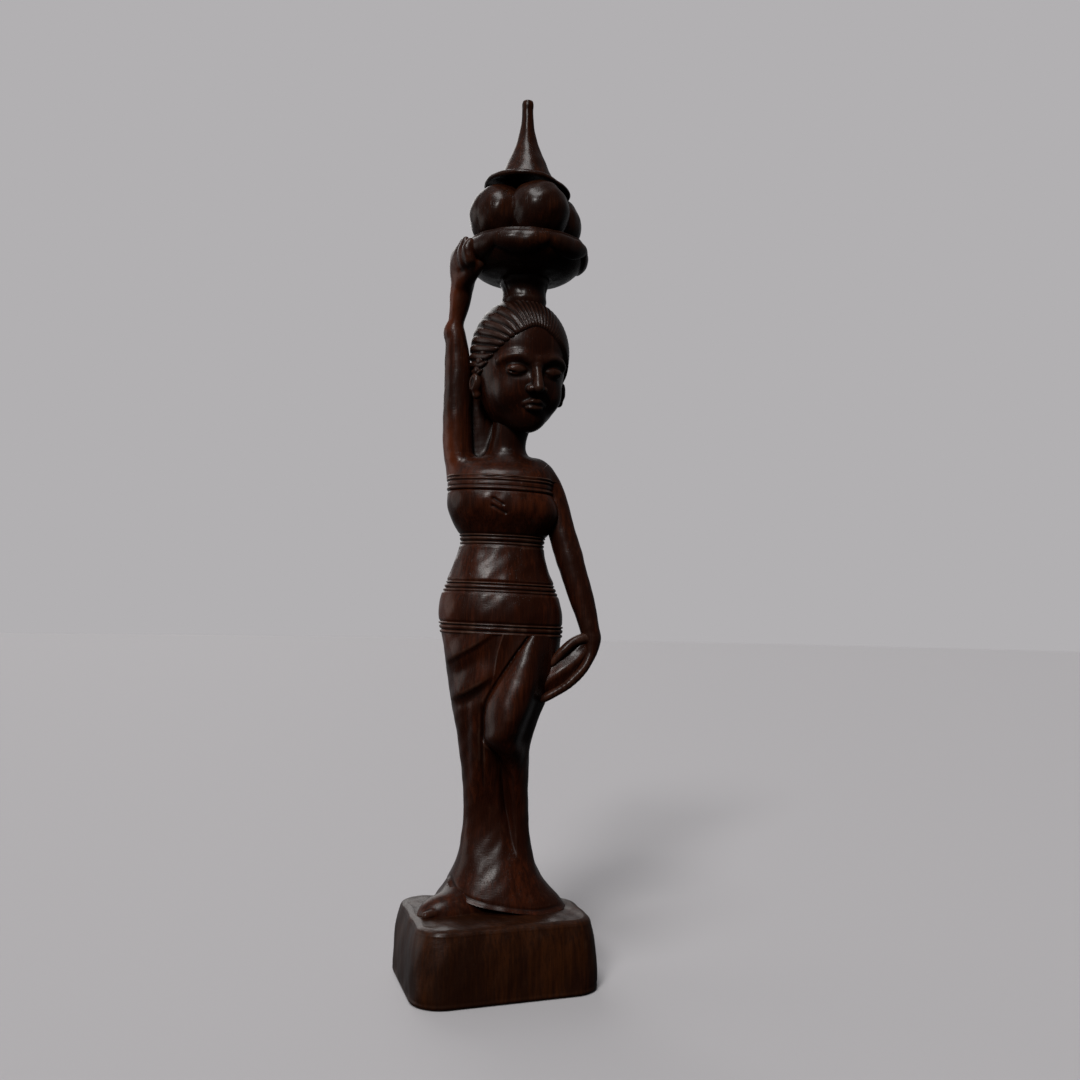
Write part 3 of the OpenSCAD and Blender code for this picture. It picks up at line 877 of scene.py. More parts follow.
def raised_fingers(p):
    """Fingers and thumb side by side round the bowl's wall, each a bent rod from the palm to the rim."""
    low, high = box_mm("bowl")
    middle = (low + high) / 2
    reach = (high[0] - low[0]) / 2
    forms = []
    for turn, top in FINGERTIPS:
        a = np.radians(turn)
        away = np.array([np.cos(a), np.sin(a)])
        path = [[*(middle[:2] + away * (reach + 0.2)), high[2] - 5, 1.05, 1.05],
                [*(middle[:2] + away * (reach + 0.75)), high[2] - 2.9, 0.95, 0.95],
                [*(middle[:2] + away * (reach + 0.15)), high[2] - 0.75 + top, 0.75, 0.75]]
        forms.append(limb(p, path, 4))
    return forms


def raised_arm():
    """Two limbs that meet in a narrow elbow, with its knob outside and its crease inside, then the palm
    with the thumb's ball, and the fingers."""
    low, high = (-13, -5, SHOULDER_LOW), (-2, 10, 146.5)
    p = lattice(low, high, ARM_PITCH)
    field = melt(limb(p, RAISED_UPPER), limb(p, RAISED_FORE), 0.5)
    field = melt(field, ball(p, (-10.15, 4.2, 126.2), (1.5, 1.8, 2.1)), 0.8)
    field = carve(field, rod(p, [-6.6, 1.4, 128.3, 0.35, 0.35], [-6.4, 6, 127.9, 0.35, 0.35]), 0.7)
    field = melt(field, limb(p, RAISED_PALM), 0.6)
    field = melt(field, limb(p, RAISED_THUMB), 1.2)
    for finger in raised_fingers(p):
        field = melt(field, finger, 1.0)
    return limb_skin(field, low)


arm = raised_arm()
print("raised arm:", len(arm[0]), "points")
cut_piece("raised_upper_arm", "skin_wood", torso, over(NECK_JOIN), other_side(WEB_EDGE), below(ARM_JOIN),
          part="_root")
cut_piece("raised_upper_arm", "skin_wood", arm, over(ARM_JOIN), below(RAISED_ELBOW))
cut_piece("raised_forearm", "skin_wood", arm, over(RAISED_ELBOW), below(RAISED_WRIST))
cut_piece("raised_hand", "skin_wood", arm, over(RAISED_WRIST))

# %% [markdown]
# The lowered arm ends in a cupped hand: the fingers lie together in one curved blade, bent back towards
# the thigh, and the thumb runs above them. Between the two the cloth that she lifts is gathered in folds.

# %% The lowered arm and its hand
HAND_LINE = [[18.9, 2.2, 62.6], [17.3, 1.4, 59.6], [14.4, 0.9, 56.6], [11.2, 0.9, 54.6], [8.8, 1.1, 53.6]]


def lowered_fingers(p):
    """Four fingers one behind the other along the hand's line, so close that they make one blade."""
    forms = []
    for i in range(4):
        path = [[x - 0.12 * i, y - 0.2 + 1.05 * i, z + 0.3 * i, 0.95 - 0.06 * j, 0.95 - 0.06 * j]
                for j, (x, y, z) in enumerate(HAND_LINE)]
        path[-1][0] += 0.5 * abs(i - 1.3)
        forms.append(limb(p, path, 4))
    return forms


def lowered_arm():
    """Two limbs through the elbow, the palm, and the fingers."""
    low, high = (4, -3, 50.5), (22.4, 10, 101)
    p = lattice(low, high, ARM_PITCH)
    field = melt(limb(p, LOWERED_UPPER), limb(p, LOWERED_FORE), 0.5)
    field = melt(field, limb(p, LOWERED_PALM), 0.8)
    for finger in lowered_fingers(p):
        field = melt(field, finger, 0.4)
    return limb_skin(field, low)


sleeve = lowered_arm()
print("lowered arm:", len(sleeve[0]), "points")
cut_piece("lowered_upper_arm", "skin_wood", torso, other_side(SLEEVE), over(ARMHOLE), part="_root")
cut_piece("lowered_upper_arm", "skin_wood", sleeve, below(ARMHOLE), over(LOWERED_ELBOW))
cut_piece("lowered_forearm", "skin_wood", sleeve, below(LOWERED_ELBOW), over(LOWERED_WRIST))
cut_piece("lowered_hand", "skin_wood", sleeve, below(LOWERED_WRIST))


# %% The thumb and the gathered cloth
LOWERED_THUMB = [[18.9, 2.6, 65, 1.2, 1.4], [17.2, 1.9, 65.4, 0.95, 1.1], [15.2, 1.2, 64.6, 0.85, 1],
                 [13.2, 0.9, 62.8, 0.85, 0.95], [11.2, 0.9, 60.6, 0.7, 0.8]]
GATHERED = [[17.7, 2.8, 64.2, 1.3, 1.4], [15.6, 2.5, 61.2, 2, 1.5], [13.2, 2.3, 59, 2.6, 1.6],
            [10.6, 2.3, 57.2, 2.5, 1.6], [8.6, 2.4, 56.2, 2, 1.5]]


def gathers(p):
    """Folds in the held cloth: a sine of the distance across them, which itself waves along x."""
    across = (p[0] - 12.6) * 0.62 - (p[2] - 57.8) * 0.78
    return 0.13 * np.sin(across * 2.6 + 0.5 * np.sin(p[0] * 0.7))


hand_low, hand_high = (5, -4, 50), (22, 8, 69)
p = lattice(hand_low, hand_high, ARM_PITCH)
net_piece("lowered_thumb", "skin_wood", limb(p, LOWERED_THUMB), hand_low, ARM_PITCH)
net_piece("gathered_cloth", "cloth_wood", limb(p, GATHERED) + gathers(p), hand_low, ARM_PITCH)

# %% [markdown]
# Only the front of the right foot shows under the hem: a low wedge with five short toes. Behind it the
# carver left the wood standing, so that the raised hem rests on something.


# %% The foot
FOOT_X, FOOT_Y, FOOT_TURN = -5.2, 1.6, math.radians(209)
FOOT_PITCH = 0.16


def foot():
    """The foot's own frame has x from heel to toes: a low dome for the instep, a taller one for the ankle
    and the wood left standing under the hem, and five short toes side by side."""
    low, high = (-15, -7, 12.6), (3, 14, 20.8)
    p = lattice(low, high, FOOT_PITCH)
    c, s = math.cos(FOOT_TURN), math.sin(FOOT_TURN)
    along = (p[0] - FOOT_X) * c + (p[1] - FOOT_Y) * s
    across = -(p[0] - FOOT_X) * s + (p[1] - FOOT_Y) * c
    q = [along, across, p[2] - PLINTH_TOP]
    instep = ball(q, (2, 0.2, -0.4), (7.2, 4.1, 4.2))
    field = melt(instep, ball(p, (-5.6, 3.6, PLINTH_TOP), (4.3, 3.6, 5.4)), 2.5)
    for i in range(5):
        size = 0.74 - 0.06 * i
        root, tip = (5.6 - 0.25 * i, 2.5 - 1.25 * i, 0.9), (8.6 - 0.5 * i, 2.6 - 1.35 * i, 0.45)
        field = melt(field, rod(q, [*root, size, size], [*tip, size, size]), 0.35)
    x0, y0, wide, deep = section(p[2])
    under = np.sqrt(((p[0] - x0) / wide) ** 2 + ((p[1] - y0) / deep) ** 2)
    standing = np.maximum(np.maximum((under - 0.985) * deep, p[0] + 2), 2.6 - p[1])
    standing = np.maximum(standing, p[2] - PLINTH_TOP - 6.6)
    field = melt(field, standing, 0.8)
    field = np.maximum(field, PLINTH_TOP - 0.15 - p[2])
    net_piece("right_foot", "skin_wood", field, low, FOOT_PITCH)


foot()

# %% [markdown]
# ## The head
#
# The head is worked out in its own frame, with x across it and the face towards minus y, then bowed and
# turned a little to her left. Two ellipsoids make skull and face, and small forms are melted on or carved
# out. The face is calm and plain: lowered lids, a straight nose, closed lips.

# %% The head's frame
HAIR_TOP = box_mm("hair")[1][2]
HEAD_TURN = math.radians(23)
HEAD_BOW, HEAD_MIDDLE = math.radians(8), 119.5  # the bow is about an axis at this height
HEAD_X, HEAD_Y = 3.9, 3.6
HAIRLINE_Z, HAIRLINE_SLOPE = 119, math.tan(math.radians(37))
HEAD_PITCH = 0.19


def to_world(points):
    """Bows head-frame points forward, turns them about the upright axis, and moves them to their place."""
    c, s = math.cos(HEAD_BOW), math.sin(HEAD_BOW)
    x, up = points[..., 0], points[..., 2] - HEAD_MIDDLE
    y, z = c * points[..., 1] - s * up, HEAD_MIDDLE + c * up + s * points[..., 1]
    c, s = math.cos(HEAD_TURN), math.sin(HEAD_TURN)
    return np.stack([HEAD_X + c * x - s * y, HEAD_Y + s * x + c * y, z], axis=-1)


def skull(p):
    """Skull and jaw without features."""
    field = melt(ball(p, (0, 0.7, 121.6), (9.3, 9.8, 10.6)), ball(p, (0, -1, 114.6), (7.7, 8.5, 8.6)), 3)
    field = melt(field, ball(p, (0, -5.7, 109), (3.1, 2.8, 2.7)), 2.5)
    return field


def pair(p, form):
    """The form on both sides of the head."""
    return np.minimum(form(p), form([-p[0], p[1], p[2]]))


def face_field(p):
    """Skull, brow, sockets, lids, nose, lips, cheeks, each melted on or carved out."""
    field = skull(p)
    field = melt(field, pair(p, lambda q: ball(q, (3.9, -5.7, 113.4), (2.5, 2.2, 2.8))), 1.8)
    field = carve(field, pair(p, lambda q: ball(q, (3.6, -9.9, 118), (2.5, 1.5, 1.5))), 1.2)
    brow = pair(p, lambda q: limb(q, [[1.2, -8.95, 119.8, 0.3, 0.3], [3.2, -8.75, 120.6, 0.3, 0.3],
                                      [5.6, -7.45, 120.2, 0.25, 0.25], [6.9, -6.2, 119.3, 0.15, 0.15]], 8))
    field = melt(field, brow, 1.6)
    field = melt(field, pair(p, lambda q: ball(q, (3.6, -7.9, 117.8), (2.1, 1.35, 1.25))), 0.35)
    lash = pair(p, lambda q: limb(q, [[1.6, -8.75, 117.6, 0.13, 0.13], [3.6, -9.25, 117, 0.16, 0.16],
                                      [5.6, -8.1, 117.6, 0.13, 0.13]], 4))
    field = carve(field, lash, 0.2)
    fold = pair(p, lambda q: limb(q, [[1.9, -8.95, 118.7, 0.1, 0.1], [3.6, -9.1, 119.05, 0.13, 0.13],
                                      [5.4, -8.2, 118.6, 0.1, 0.1]], 4))
    field = carve(field, fold, 0.3)
    nose = limb(p, [[0, -8.9, 119.8, 0.75, 0.8], [0, -9.8, 117, 0.8, 0.9], [0, -10.7, 114.6, 1.05, 1.0]], 3)
    field = melt(field, nose, 0.8)
    field = melt(field, pair(p, lambda q: ball(q, (1.25, -9.9, 114.3), (0.85, 0.9, 0.75))), 0.5)
    nostril = pair(p, lambda q: ball(q, (0.75, -10.7, 113.55), (0.35, 0.45, 0.25)))
    field = carve(field, nostril, 0.2)
    upper = pair(p, lambda q: limb(q, [[0, -9.7, 111.75, 0.42, 0.42], [0.7, -9.65, 111.95, 0.45, 0.45],
                                       [2.3, -8.7, 111.35, 0.2, 0.2]], 4))
    field = melt(field, upper, 0.45)
    field = melt(field, ball(p, (0, -9.15, 110.75), (1.75, 0.95, 0.62)), 0.5)
    mouth = pair(p, lambda q: limb(q, [[0, -10.15, 111.35, 0.13, 0.13], [1.2, -9.95, 111.4, 0.13, 0.13],
                                       [2.6, -8.8, 111.3, 0.16, 0.16]], 4))
    return carve(field, mouth, 0.2)


def head_net(node, slot, field, low, mirrored=False):
    """A head-frame field as a piece in its place, or its mirror image."""
    points, faces = surface_net(field, low, HEAD_PITCH)
    points = smoothed(points, faces)
    if mirrored:
        points, faces = points * [-1, 1, 1], faces[:, ::-1]
    make_piece(node, slot, to_world(points), faces)


# %% The face
low, high = (-10.4, -12.6, 104.6), (10.4, 11.6, 133)
p = lattice(low, high, HEAD_PITCH)
head_net("face", "skin_wood", np.maximum(face_field(p), p[2] - HAIR_TOP + 0.3), low)

# %% [markdown]
# The hair is combed straight back from the hairline. Its grooves lie in planes through a front-to-back
# axis, so they fan out over the forehead and run level at the temples. They are bold at her right temple
# and shallow on the other side, where the hair is nearly smooth, and they fade before they meet behind.


# %% Hair, side lock and ears
HAIR_PROUD = 0.62


def hair_grooves(p):
    """Depth of the grooves: two rows of valleys, each the power of a cosine of the angle about the
    front-to-back axis, mixed by side."""
    angle = np.arctan2(p[2] - HEAD_MIDDLE, p[0])
    bold = np.abs(np.cos(19 * angle + 0.35 * np.sin(p[1] * 0.6))) ** 6
    fine = np.abs(np.cos(40 * angle + 0.5 * np.sin(p[1] * 0.45 + 1))) ** 4
    right = 1 - eased(p[0], -5.5, -2)
    top = bump(p[0], -1.5, 5)
    far = eased(p[0], 2, 7)
    pole = eased(np.hypot(p[0], p[2] - HEAD_MIDDLE), 2.5, 6.5)
    return (0.5 * right * bold + 0.3 * (1 - right) * fine * (0.35 + 0.65 * top)) * (1 - 0.6 * far) * pole


def hair():
    """The skull, grown by a little and grooved, behind the hairline: a slanting arc over the forehead."""
    low, high = (-11.2, -12, 106), (11.2, 12.4, 133.4)
    p = lattice(low, high, HEAD_PITCH)
    arc = HAIRLINE_SLOPE * p[1] - 1.3 * bump(p[0], 0, 3) + 0.042 * p[0] ** 2
    line = -(p[2] - HAIRLINE_Z + arc) * 0.8
    rough = skull(p) - HAIR_PROUD + hair_grooves(p)
    cap = -melt(-rough, -line, 0.9)
    head_net("hair", "hair_wood", np.maximum(cap, p[2] - HAIR_TOP), low)


def side_lock():
    """Three flat beads melted into one short lock in front of the ear."""
    low, high = (-11.6, -4, 114.5), (-6.5, 5, 126.5)
    p = lattice(low, high, HEAD_PITCH)
    beads = [(-8.6, -2.2, 121, 0.9), (-9, -1.3, 119.4, 0.95), (-9.1, -0.3, 117.7, 0.8)]
    forms = [ball(p, (x, y, z), (size * 0.75, size * 1.5, size)) for x, y, z, size in beads]
    head_net("side_lock", "hair_wood", melt(melt(forms[0], forms[1], 0.4), forms[2], 0.4), low)


def ear(node, mirrored=False):
    """An oval shell and a round lobe, with a hollow carved in. The left one is the right one mirrored."""
    low, high = (-11.6, -2.8, 110), (-7.2, 4.2, 119)
    p = lattice(low, high, HEAD_PITCH)
    field = ball(p, (-9.1, 0.1, 115), (1.2, 1.6, 2.1))
    field = melt(field, ball(p, (-8.8, -0.3, 112.8), (0.85, 0.95, 0.9)), 0.6)
    field = carve(field, ball(p, (-10.4, -0.3, 115.3), (0.75, 0.85, 1.2)), 0.35)
    head_net(node, "skin_wood", field, low, mirrored)


hair()
side_lock()
ear("right_ear")
ear("left_ear", mirrored=True)


# %% [markdown]
# ## The offering on her head
#
# These forms are all turned: a profile carried round an upright axis. What makes them look carved is that
# the profile changes with the angle: petals under the bowl's rim, a lid that droops on one side, fruit
# that isn't round. `turned` takes the radius and the height of each row as functions of the angle.


# %% Turned forms
def angles(columns):
    """Even angles round a form, as one row."""
    return np.linspace(0, 2 * np.pi, columns, endpoint=False)[None, :]


def centre_of(node):
    """The middle of a node's box, in millimetres."""
    low, high = box_mm(node)
    return (low + high) / 2


def turned(node, slot, radius, z, columns=180, height=0.05):
    """A closed form about the node's middle, from the radius and height of each row at each angle."""
    middle = centre_of(node)
    angle = angles(columns)
    x = middle[0] + radius * np.cos(angle)
    y = middle[1] + radius * np.sin(angle)
    points = np.stack([x, y, z + 0 * angle], axis=-1)
    outwards = np.stack([np.cos(angle) + 0 * z, np.sin(angle) + 0 * z, 0.6 * np.ones_like(x)], axis=-1)
    stack_piece(node, slot, points + wobble(points, height)[..., None] * outwards, inner=0.5)


def profile(stops, rows):
    """A smooth profile through (radius, height) stops, at even steps of the stops' own distance."""
    stops = np.array(stops, float)
    along = np.concatenate([[0], np.cumsum(np.hypot(*np.diff(stops, axis=0).T))])
    t = np.linspace(0, along[-1], rows)
    return [curve(t, np.stack([along, stops[:, i]], axis=1))[:, None] for i in (0, 1)]


# %% The head pad
def head_pad():
    """A waisted ring of cloth with eight soft pleats round it."""
    low, high = box_mm("head_pad")
    radius, z = profile([(4.3, -0.4), (4.45, 0.7), (4.3, 1.5), (4.25, 2.4), (4.45, 3.2), (4.8, 4),
                         (5, high[2] - low[2] + 0.5)], 40)
    radius = radius + 0.12 * np.abs(np.sin(4 * angles(180) + 0.4 * z)) * np.sin(np.pi * z / 5)
    turned("head_pad", "hair_wood", radius, z + low[2] - 0.35)


head_pad()

# %% The bowl
PETALS = 7
UNDERSIDE = [(0, 5.6), (0.35, 7.6), (1.0, 9.2), (1.75, 10.2), (3.2, 11.4), (4.6, 11.75)]  # height, radius


def bowl():
    """Underside up to the petals' edge, a step out, the wall, the rim, and the shallow inside."""
    low, high = box_mm("bowl")
    rim = (high[0] - low[0]) / 2
    angle = angles(360)
    petal = np.abs(np.cos(PETALS * (angle + 1.62) / 2)) ** 0.9
    edge = low[2] + 3.9 - 1.75 * petal + 0.3 * np.cos(angle + 0.6)
    share = np.linspace(0, 1, 60)[:, None]
    under_z = low[2] + share**1.25 * np.clip(edge - low[2], 1, None)
    under_r = curve(under_z - low[2], UNDERSIDE)
    wall = np.linspace(0, 1, 50)[:, None]
    wall_z = edge + (high[2] - edge) * wall
    bulge = 0.95 * np.sin(np.pi * np.clip(wall * 1.05 + 0.05, 0, 1)) ** 0.55 * (1 - 0.35 * wall)
    slope = [(1.5, 10.3), (3, 11.5), (4.6, rim - 0.5), (5.9, rim - 0.45), (6.9, rim - 0.6)]
    wall_r = curve(wall_z - low[2], slope) + bulge * (0.75 + 0.25 * petal)
    lip = np.linspace(0, 1, 14)[:, None]
    lip_r = wall_r[-1:] - 0.75 * lip**1.2
    lip_z = high[2] + 0.16 * np.sin(np.pi * lip) - 0.9 * lip**3
    radius = np.concatenate([under_r + 0 * angle, wall_r, lip_r[1:], lip_r[-1:] * 0.97, lip_r[-1:] * 0.6])
    z = np.concatenate([under_z, wall_z, np.concatenate([lip_z[1:], lip_z[-1:], lip_z[-1:]]) + 0 * angle])
    turned("bowl", "offering_wood", radius, z, 360, 0.09)


bowl()


# %% The fruit
def fruit(number):
    """A plump fruit: a sphere with three shallow seams, a little squeezed, and moved in under the lid."""
    node = f"fruit_{number}"
    low, high = box_mm(node)
    middle, half = (low + high) / 2, (high - low) / 2
    rise = np.linspace(-np.pi / 2 * 0.985, np.pi / 2 * 0.985, 110)[:, None]
    angle = angles(160)
    seam = 0.035 * np.abs(np.sin(1.5 * (angle - number * 1.3))) ** 0.35 - 0.03
    size = 1 + seam * np.cos(rise) ** 2 + 0.02 * np.sin(2 * angle + number)
    inwards = (centre_of("bowl")[:2] - middle[:2]) * 0.07
    x = middle[0] + inwards[0] + half[0] * 1.08 * size * np.cos(rise) * np.cos(angle)
    y = middle[1] + inwards[1] + half[1] * 1.08 * size * np.cos(rise) * np.sin(angle)
    z = middle[2] + half[2] * 1.05 * np.sin(rise) + 0 * angle
    points = np.stack([x, y, z], axis=-1)
    points = points + wobble(points, 0.12)[..., None] * (points - middle) / 6
    stack_piece(node, "offering_wood", points, inner=0.5)


for number in range(1, 5):
    fruit(number)


# %% The lid and its spire
def lid():
    """A shallow cone with a thin uneven edge, hollow underneath, that droops to the figure's left."""
    low, high = box_mm("lid")
    rim = (high[0] - low[0]) / 2
    angle = angles(240)
    wave = 1 + 0.018 * np.sin(3 * angle + 0.7) + 0.012 * np.sin(5 * angle + 2)
    droop = -0.75 * np.cos(angle + 0.25) - 0.75 * np.sin(angle) - 0.15
    under_r, under_z = profile([(2.5, 1.5), (5, 1.1), (7.4, 0.45), (8.3, 0.15)], 40)
    over_r, over_z = profile([(rim - 0.25, 0.1), (rim, 0.45), (rim - 0.15, 0.9), (rim - 1.2, 1.6),
                              (rim - 3.2, 2.5), (4.2, 3.6)], 70)
    radius = np.concatenate([under_r, over_r])
    z = np.concatenate([under_z, over_z]) + low[2] + droop * (radius / rim) ** 2
    turned("lid", "offering_wood", radius * wave, z, 240, 0.07)


def spire():
    """A tall concave cone with a blunt tip and five faint facets that wind round it."""
    low, high = box_mm("spire")
    height = high[2] - low[2]
    stops = [(5.5, -0.8), (4.6, 1.2), (3.95, 2.8), (2.85, 5.2), (2.05, 7.4), (1.62, 9.2), (1.33, 11.4),
             (1.15, 13.8), (1.1, height - 0.35), (1, height - 0.08), (0.7, height)]
    radius, z = profile(stops, 140)
    facet = 1 + 0.02 * np.cos(5 * angles(180) + 0.12 * z)
    turned("spire", "offering_wood", radius * facet, z + low[2])


lid()
spire()

# %% [markdown]
# ## The plinth
#
# The plinth is a block with rounded corners, wider at the foot. Its outline is four arcs joined by
# straight lines, moved inwards as the height grows, and its top edge is softly broken.

# %% The plinth's outline and body
# x, y and radius of each corner
CORNERS = [(-8, -8.7, 6.0), (14.9, -0.6, 5.8), (12.4, 8.3, 5.8), (-13.2, 8.2, 5.8)]


def plinth_outline(arc_points=26, side_points=44):
    """Points and outward directions round the outline: an arc on each corner, then a straight side."""
    spots, ways = [], []
    centres = np.array(CORNERS)[:, :2]
    radii = np.array(CORNERS)[:, 2]
    ahead = np.roll(centres, -1, axis=0) - centres
    heading = np.arctan2(ahead[:, 1], ahead[:, 0]) - np.pi / 2
    for i in range(4):
        before, after = heading[i - 1], heading[i]
        turn = before + np.linspace(0, 1, arc_points, endpoint=False) * ((after - before) % (2 * np.pi))
        way = np.stack([np.cos(turn), np.sin(turn)], axis=1)
        spots.append(centres[i] + radii[i] * way)
        ways.append(way)
        end_way = np.array([np.cos(after), np.sin(after)])
        a = centres[i] + radii[i] * end_way
        b = centres[(i + 1) % 4] + radii[(i + 1) % 4] * end_way
        share = np.linspace(0, 1, side_points, endpoint=False)[:, None]
        spots.append(a + share * (b - a))
        ways.append(np.repeat(end_way[None], side_points, axis=0))
    return np.concatenate(spots), np.concatenate(ways)


def plinth():
    """The outline carried upwards while it draws in by the inset of each height, then the top, which is
    the last outline shrunk towards its middle. Saw and knife leave both a little uneven."""
    spots, ways = plinth_outline()
    low, high = box_mm("plinth")
    height = high[2] - low[2]
    edge = height - 0.9
    stops = [(0.0, 0.35), (0.35, 0.0), (1.2, 0.0), (edge - 0.4, 1.05), (edge + 0.15, 1.2),
             (height - 0.25, 1.65), (height, 2.25)]
    rows = [np.linspace(0, height, 90), np.linspace(edge - 0.8, height, 24), np.linspace(0, 1, 12)]
    z = np.unique(np.concatenate(rows))[:, None]
    inset = curve(z, stops)
    x = spots[:, 0] - inset * ways[:, 0]
    y = spots[:, 1] - inset * ways[:, 1]
    side = np.stack([x, y, z + 0 * x], axis=-1)
    cut = wobble(side * [0.7, 0.7, 0.5], 0.13) * eased(z, 0.3, 2) - 0.1
    side = side + cut[..., None] * np.concatenate([ways, np.zeros((len(ways), 1))], axis=1)
    middle = side[-1].mean(axis=0)
    shrink = np.linspace(0.985, 0.3, 60)[:, None, None]
    top = middle + (side[-1] - middle) * shrink
    top[..., 2] = height + 0.04 + wobble(top * [0.8, 0.8, 1], 0.1)
    stack_piece("plinth", "plinth_wood", np.concatenate([side, top]), inner=0.5)


plinth()
print("pieces:", len(PIECES))

# %% [markdown]
# ## The finish
#
# It is one dark wood everywhere: brown-black heartwood with redder streaks along the grain, under a thin
# dark lacquer. The raised arm's side, towards minus x, is tinted redder in bands up the height: painted warm
# light from the left. Handling has worn the ridges to a dull grey-brown, and the hollows are painted darker
# as shade. The parts differ only in how much of each they show, so one recipe with a few numbers serves them
# all. `Signal` lets shader maths be written as ordinary expressions.



# %% Shader maths in plain expressions
class Signal:
    """A value socket that can be added, subtracted and multiplied."""

    def __init__(self, shop, socket):
        self.shop = shop
        self.socket = socket

    def maths(self, operation, first, second):
        return self.shop.node("ShaderNodeMath", {"operation": operation}, {0: first, 1: second})

    def __add__(self, other):
        return self.maths("ADD", self, other)

    def __sub__(self, other):
        return self.maths("SUBTRACT", self, other)

    def __rsub__(self, other):
        return self.maths("SUBTRACT", other, self)

    def __mul__(self, other):
        return self.maths("MULTIPLY", self, other)

    __radd__ = __add__
    __rmul__ = __mul__


class Workshop:
    """Adds nodes to one node tree."""

    def __init__(self, tree):
        self.tree = tree
        tree.nodes.clear()

    def node(self, kind, settings=None, inputs=None, output=0):
        """A node of that type with its settings, then its sockets' values or links. Gives one output."""
        made = self.tree.nodes.new(kind)
        for key, value in (settings or {}).items():
            setattr(made, key, value)
        for key, value in (inputs or {}).items():
            if isinstance(value, Signal):
                self.tree.links.new(value.socket, made.inputs[key])
            else:
                made.inputs[key].default_value = value
        return Signal(self, made.outputs[output]) if len(made.outputs) else made

    def blend(self, share, low, high):
        """Mix of two colours by a value."""
        return self.node("ShaderNodeMix", {"data_type": "RGBA"}, {0: share, 6: low, 7: high}, output=2)

    def axis(self, vector, number):
        """One of the three parts of a vector."""
        return self.node("ShaderNodeSeparateXYZ", {}, {"Vector": vector}, output=number)

    def between(self, value, low, high, start=0.0, end=1.0):
        """Maps low to high onto start to end, smoothly and without overshoot."""
        return self.node("ShaderNodeMapRange", {"interpolation_type": "SMOOTHSTEP"},
                         {"Value": value, "From Min": low, "From Max": high, "To Min": start, "To Max": end})

    def noise(self, place, scale, detail=3.0, stretch=(1, 1, 1), rough=0.5, distortion=0.0):
        """Noise of a position, with so many spots to the millimetre, stretched along an axis."""
        per_metre = tuple(1000 * s * scale for s in stretch)
        spot = self.node("ShaderNodeMapping", {}, {"Vector": place, "Scale": per_metre})
        return self.node("ShaderNodeTexNoise", {}, {
            "Vector": spot, "Scale": 1.0, "Detail": detail, "Roughness": rough, "Distortion": distortion})


def rgb(red, green, blue):
    """Display colour 0 to 255 as the linear colour that shaders use."""
    linear = [((v / 255 + 0.055) / 1.055) ** 2.4 if v > 10 else v / 255 / 12.92 for v in (red, green, blue)]
    return (*linear, 1)


def darker(colour, share):
    """A share of a linear colour."""
    return (*(v * share for v in colour[:3]), 1)


# Painted warm light: the red that the side towards minus x is tinted to, standing in for warm light from the
# left.
SIDE_LIGHT_COLOUR = rgb(116, 52, 22)
BAND_PACE, BAND_START = 202.7, 0.05  # of the sine that bands the painted warm light up the side, which peaks every 31 mm


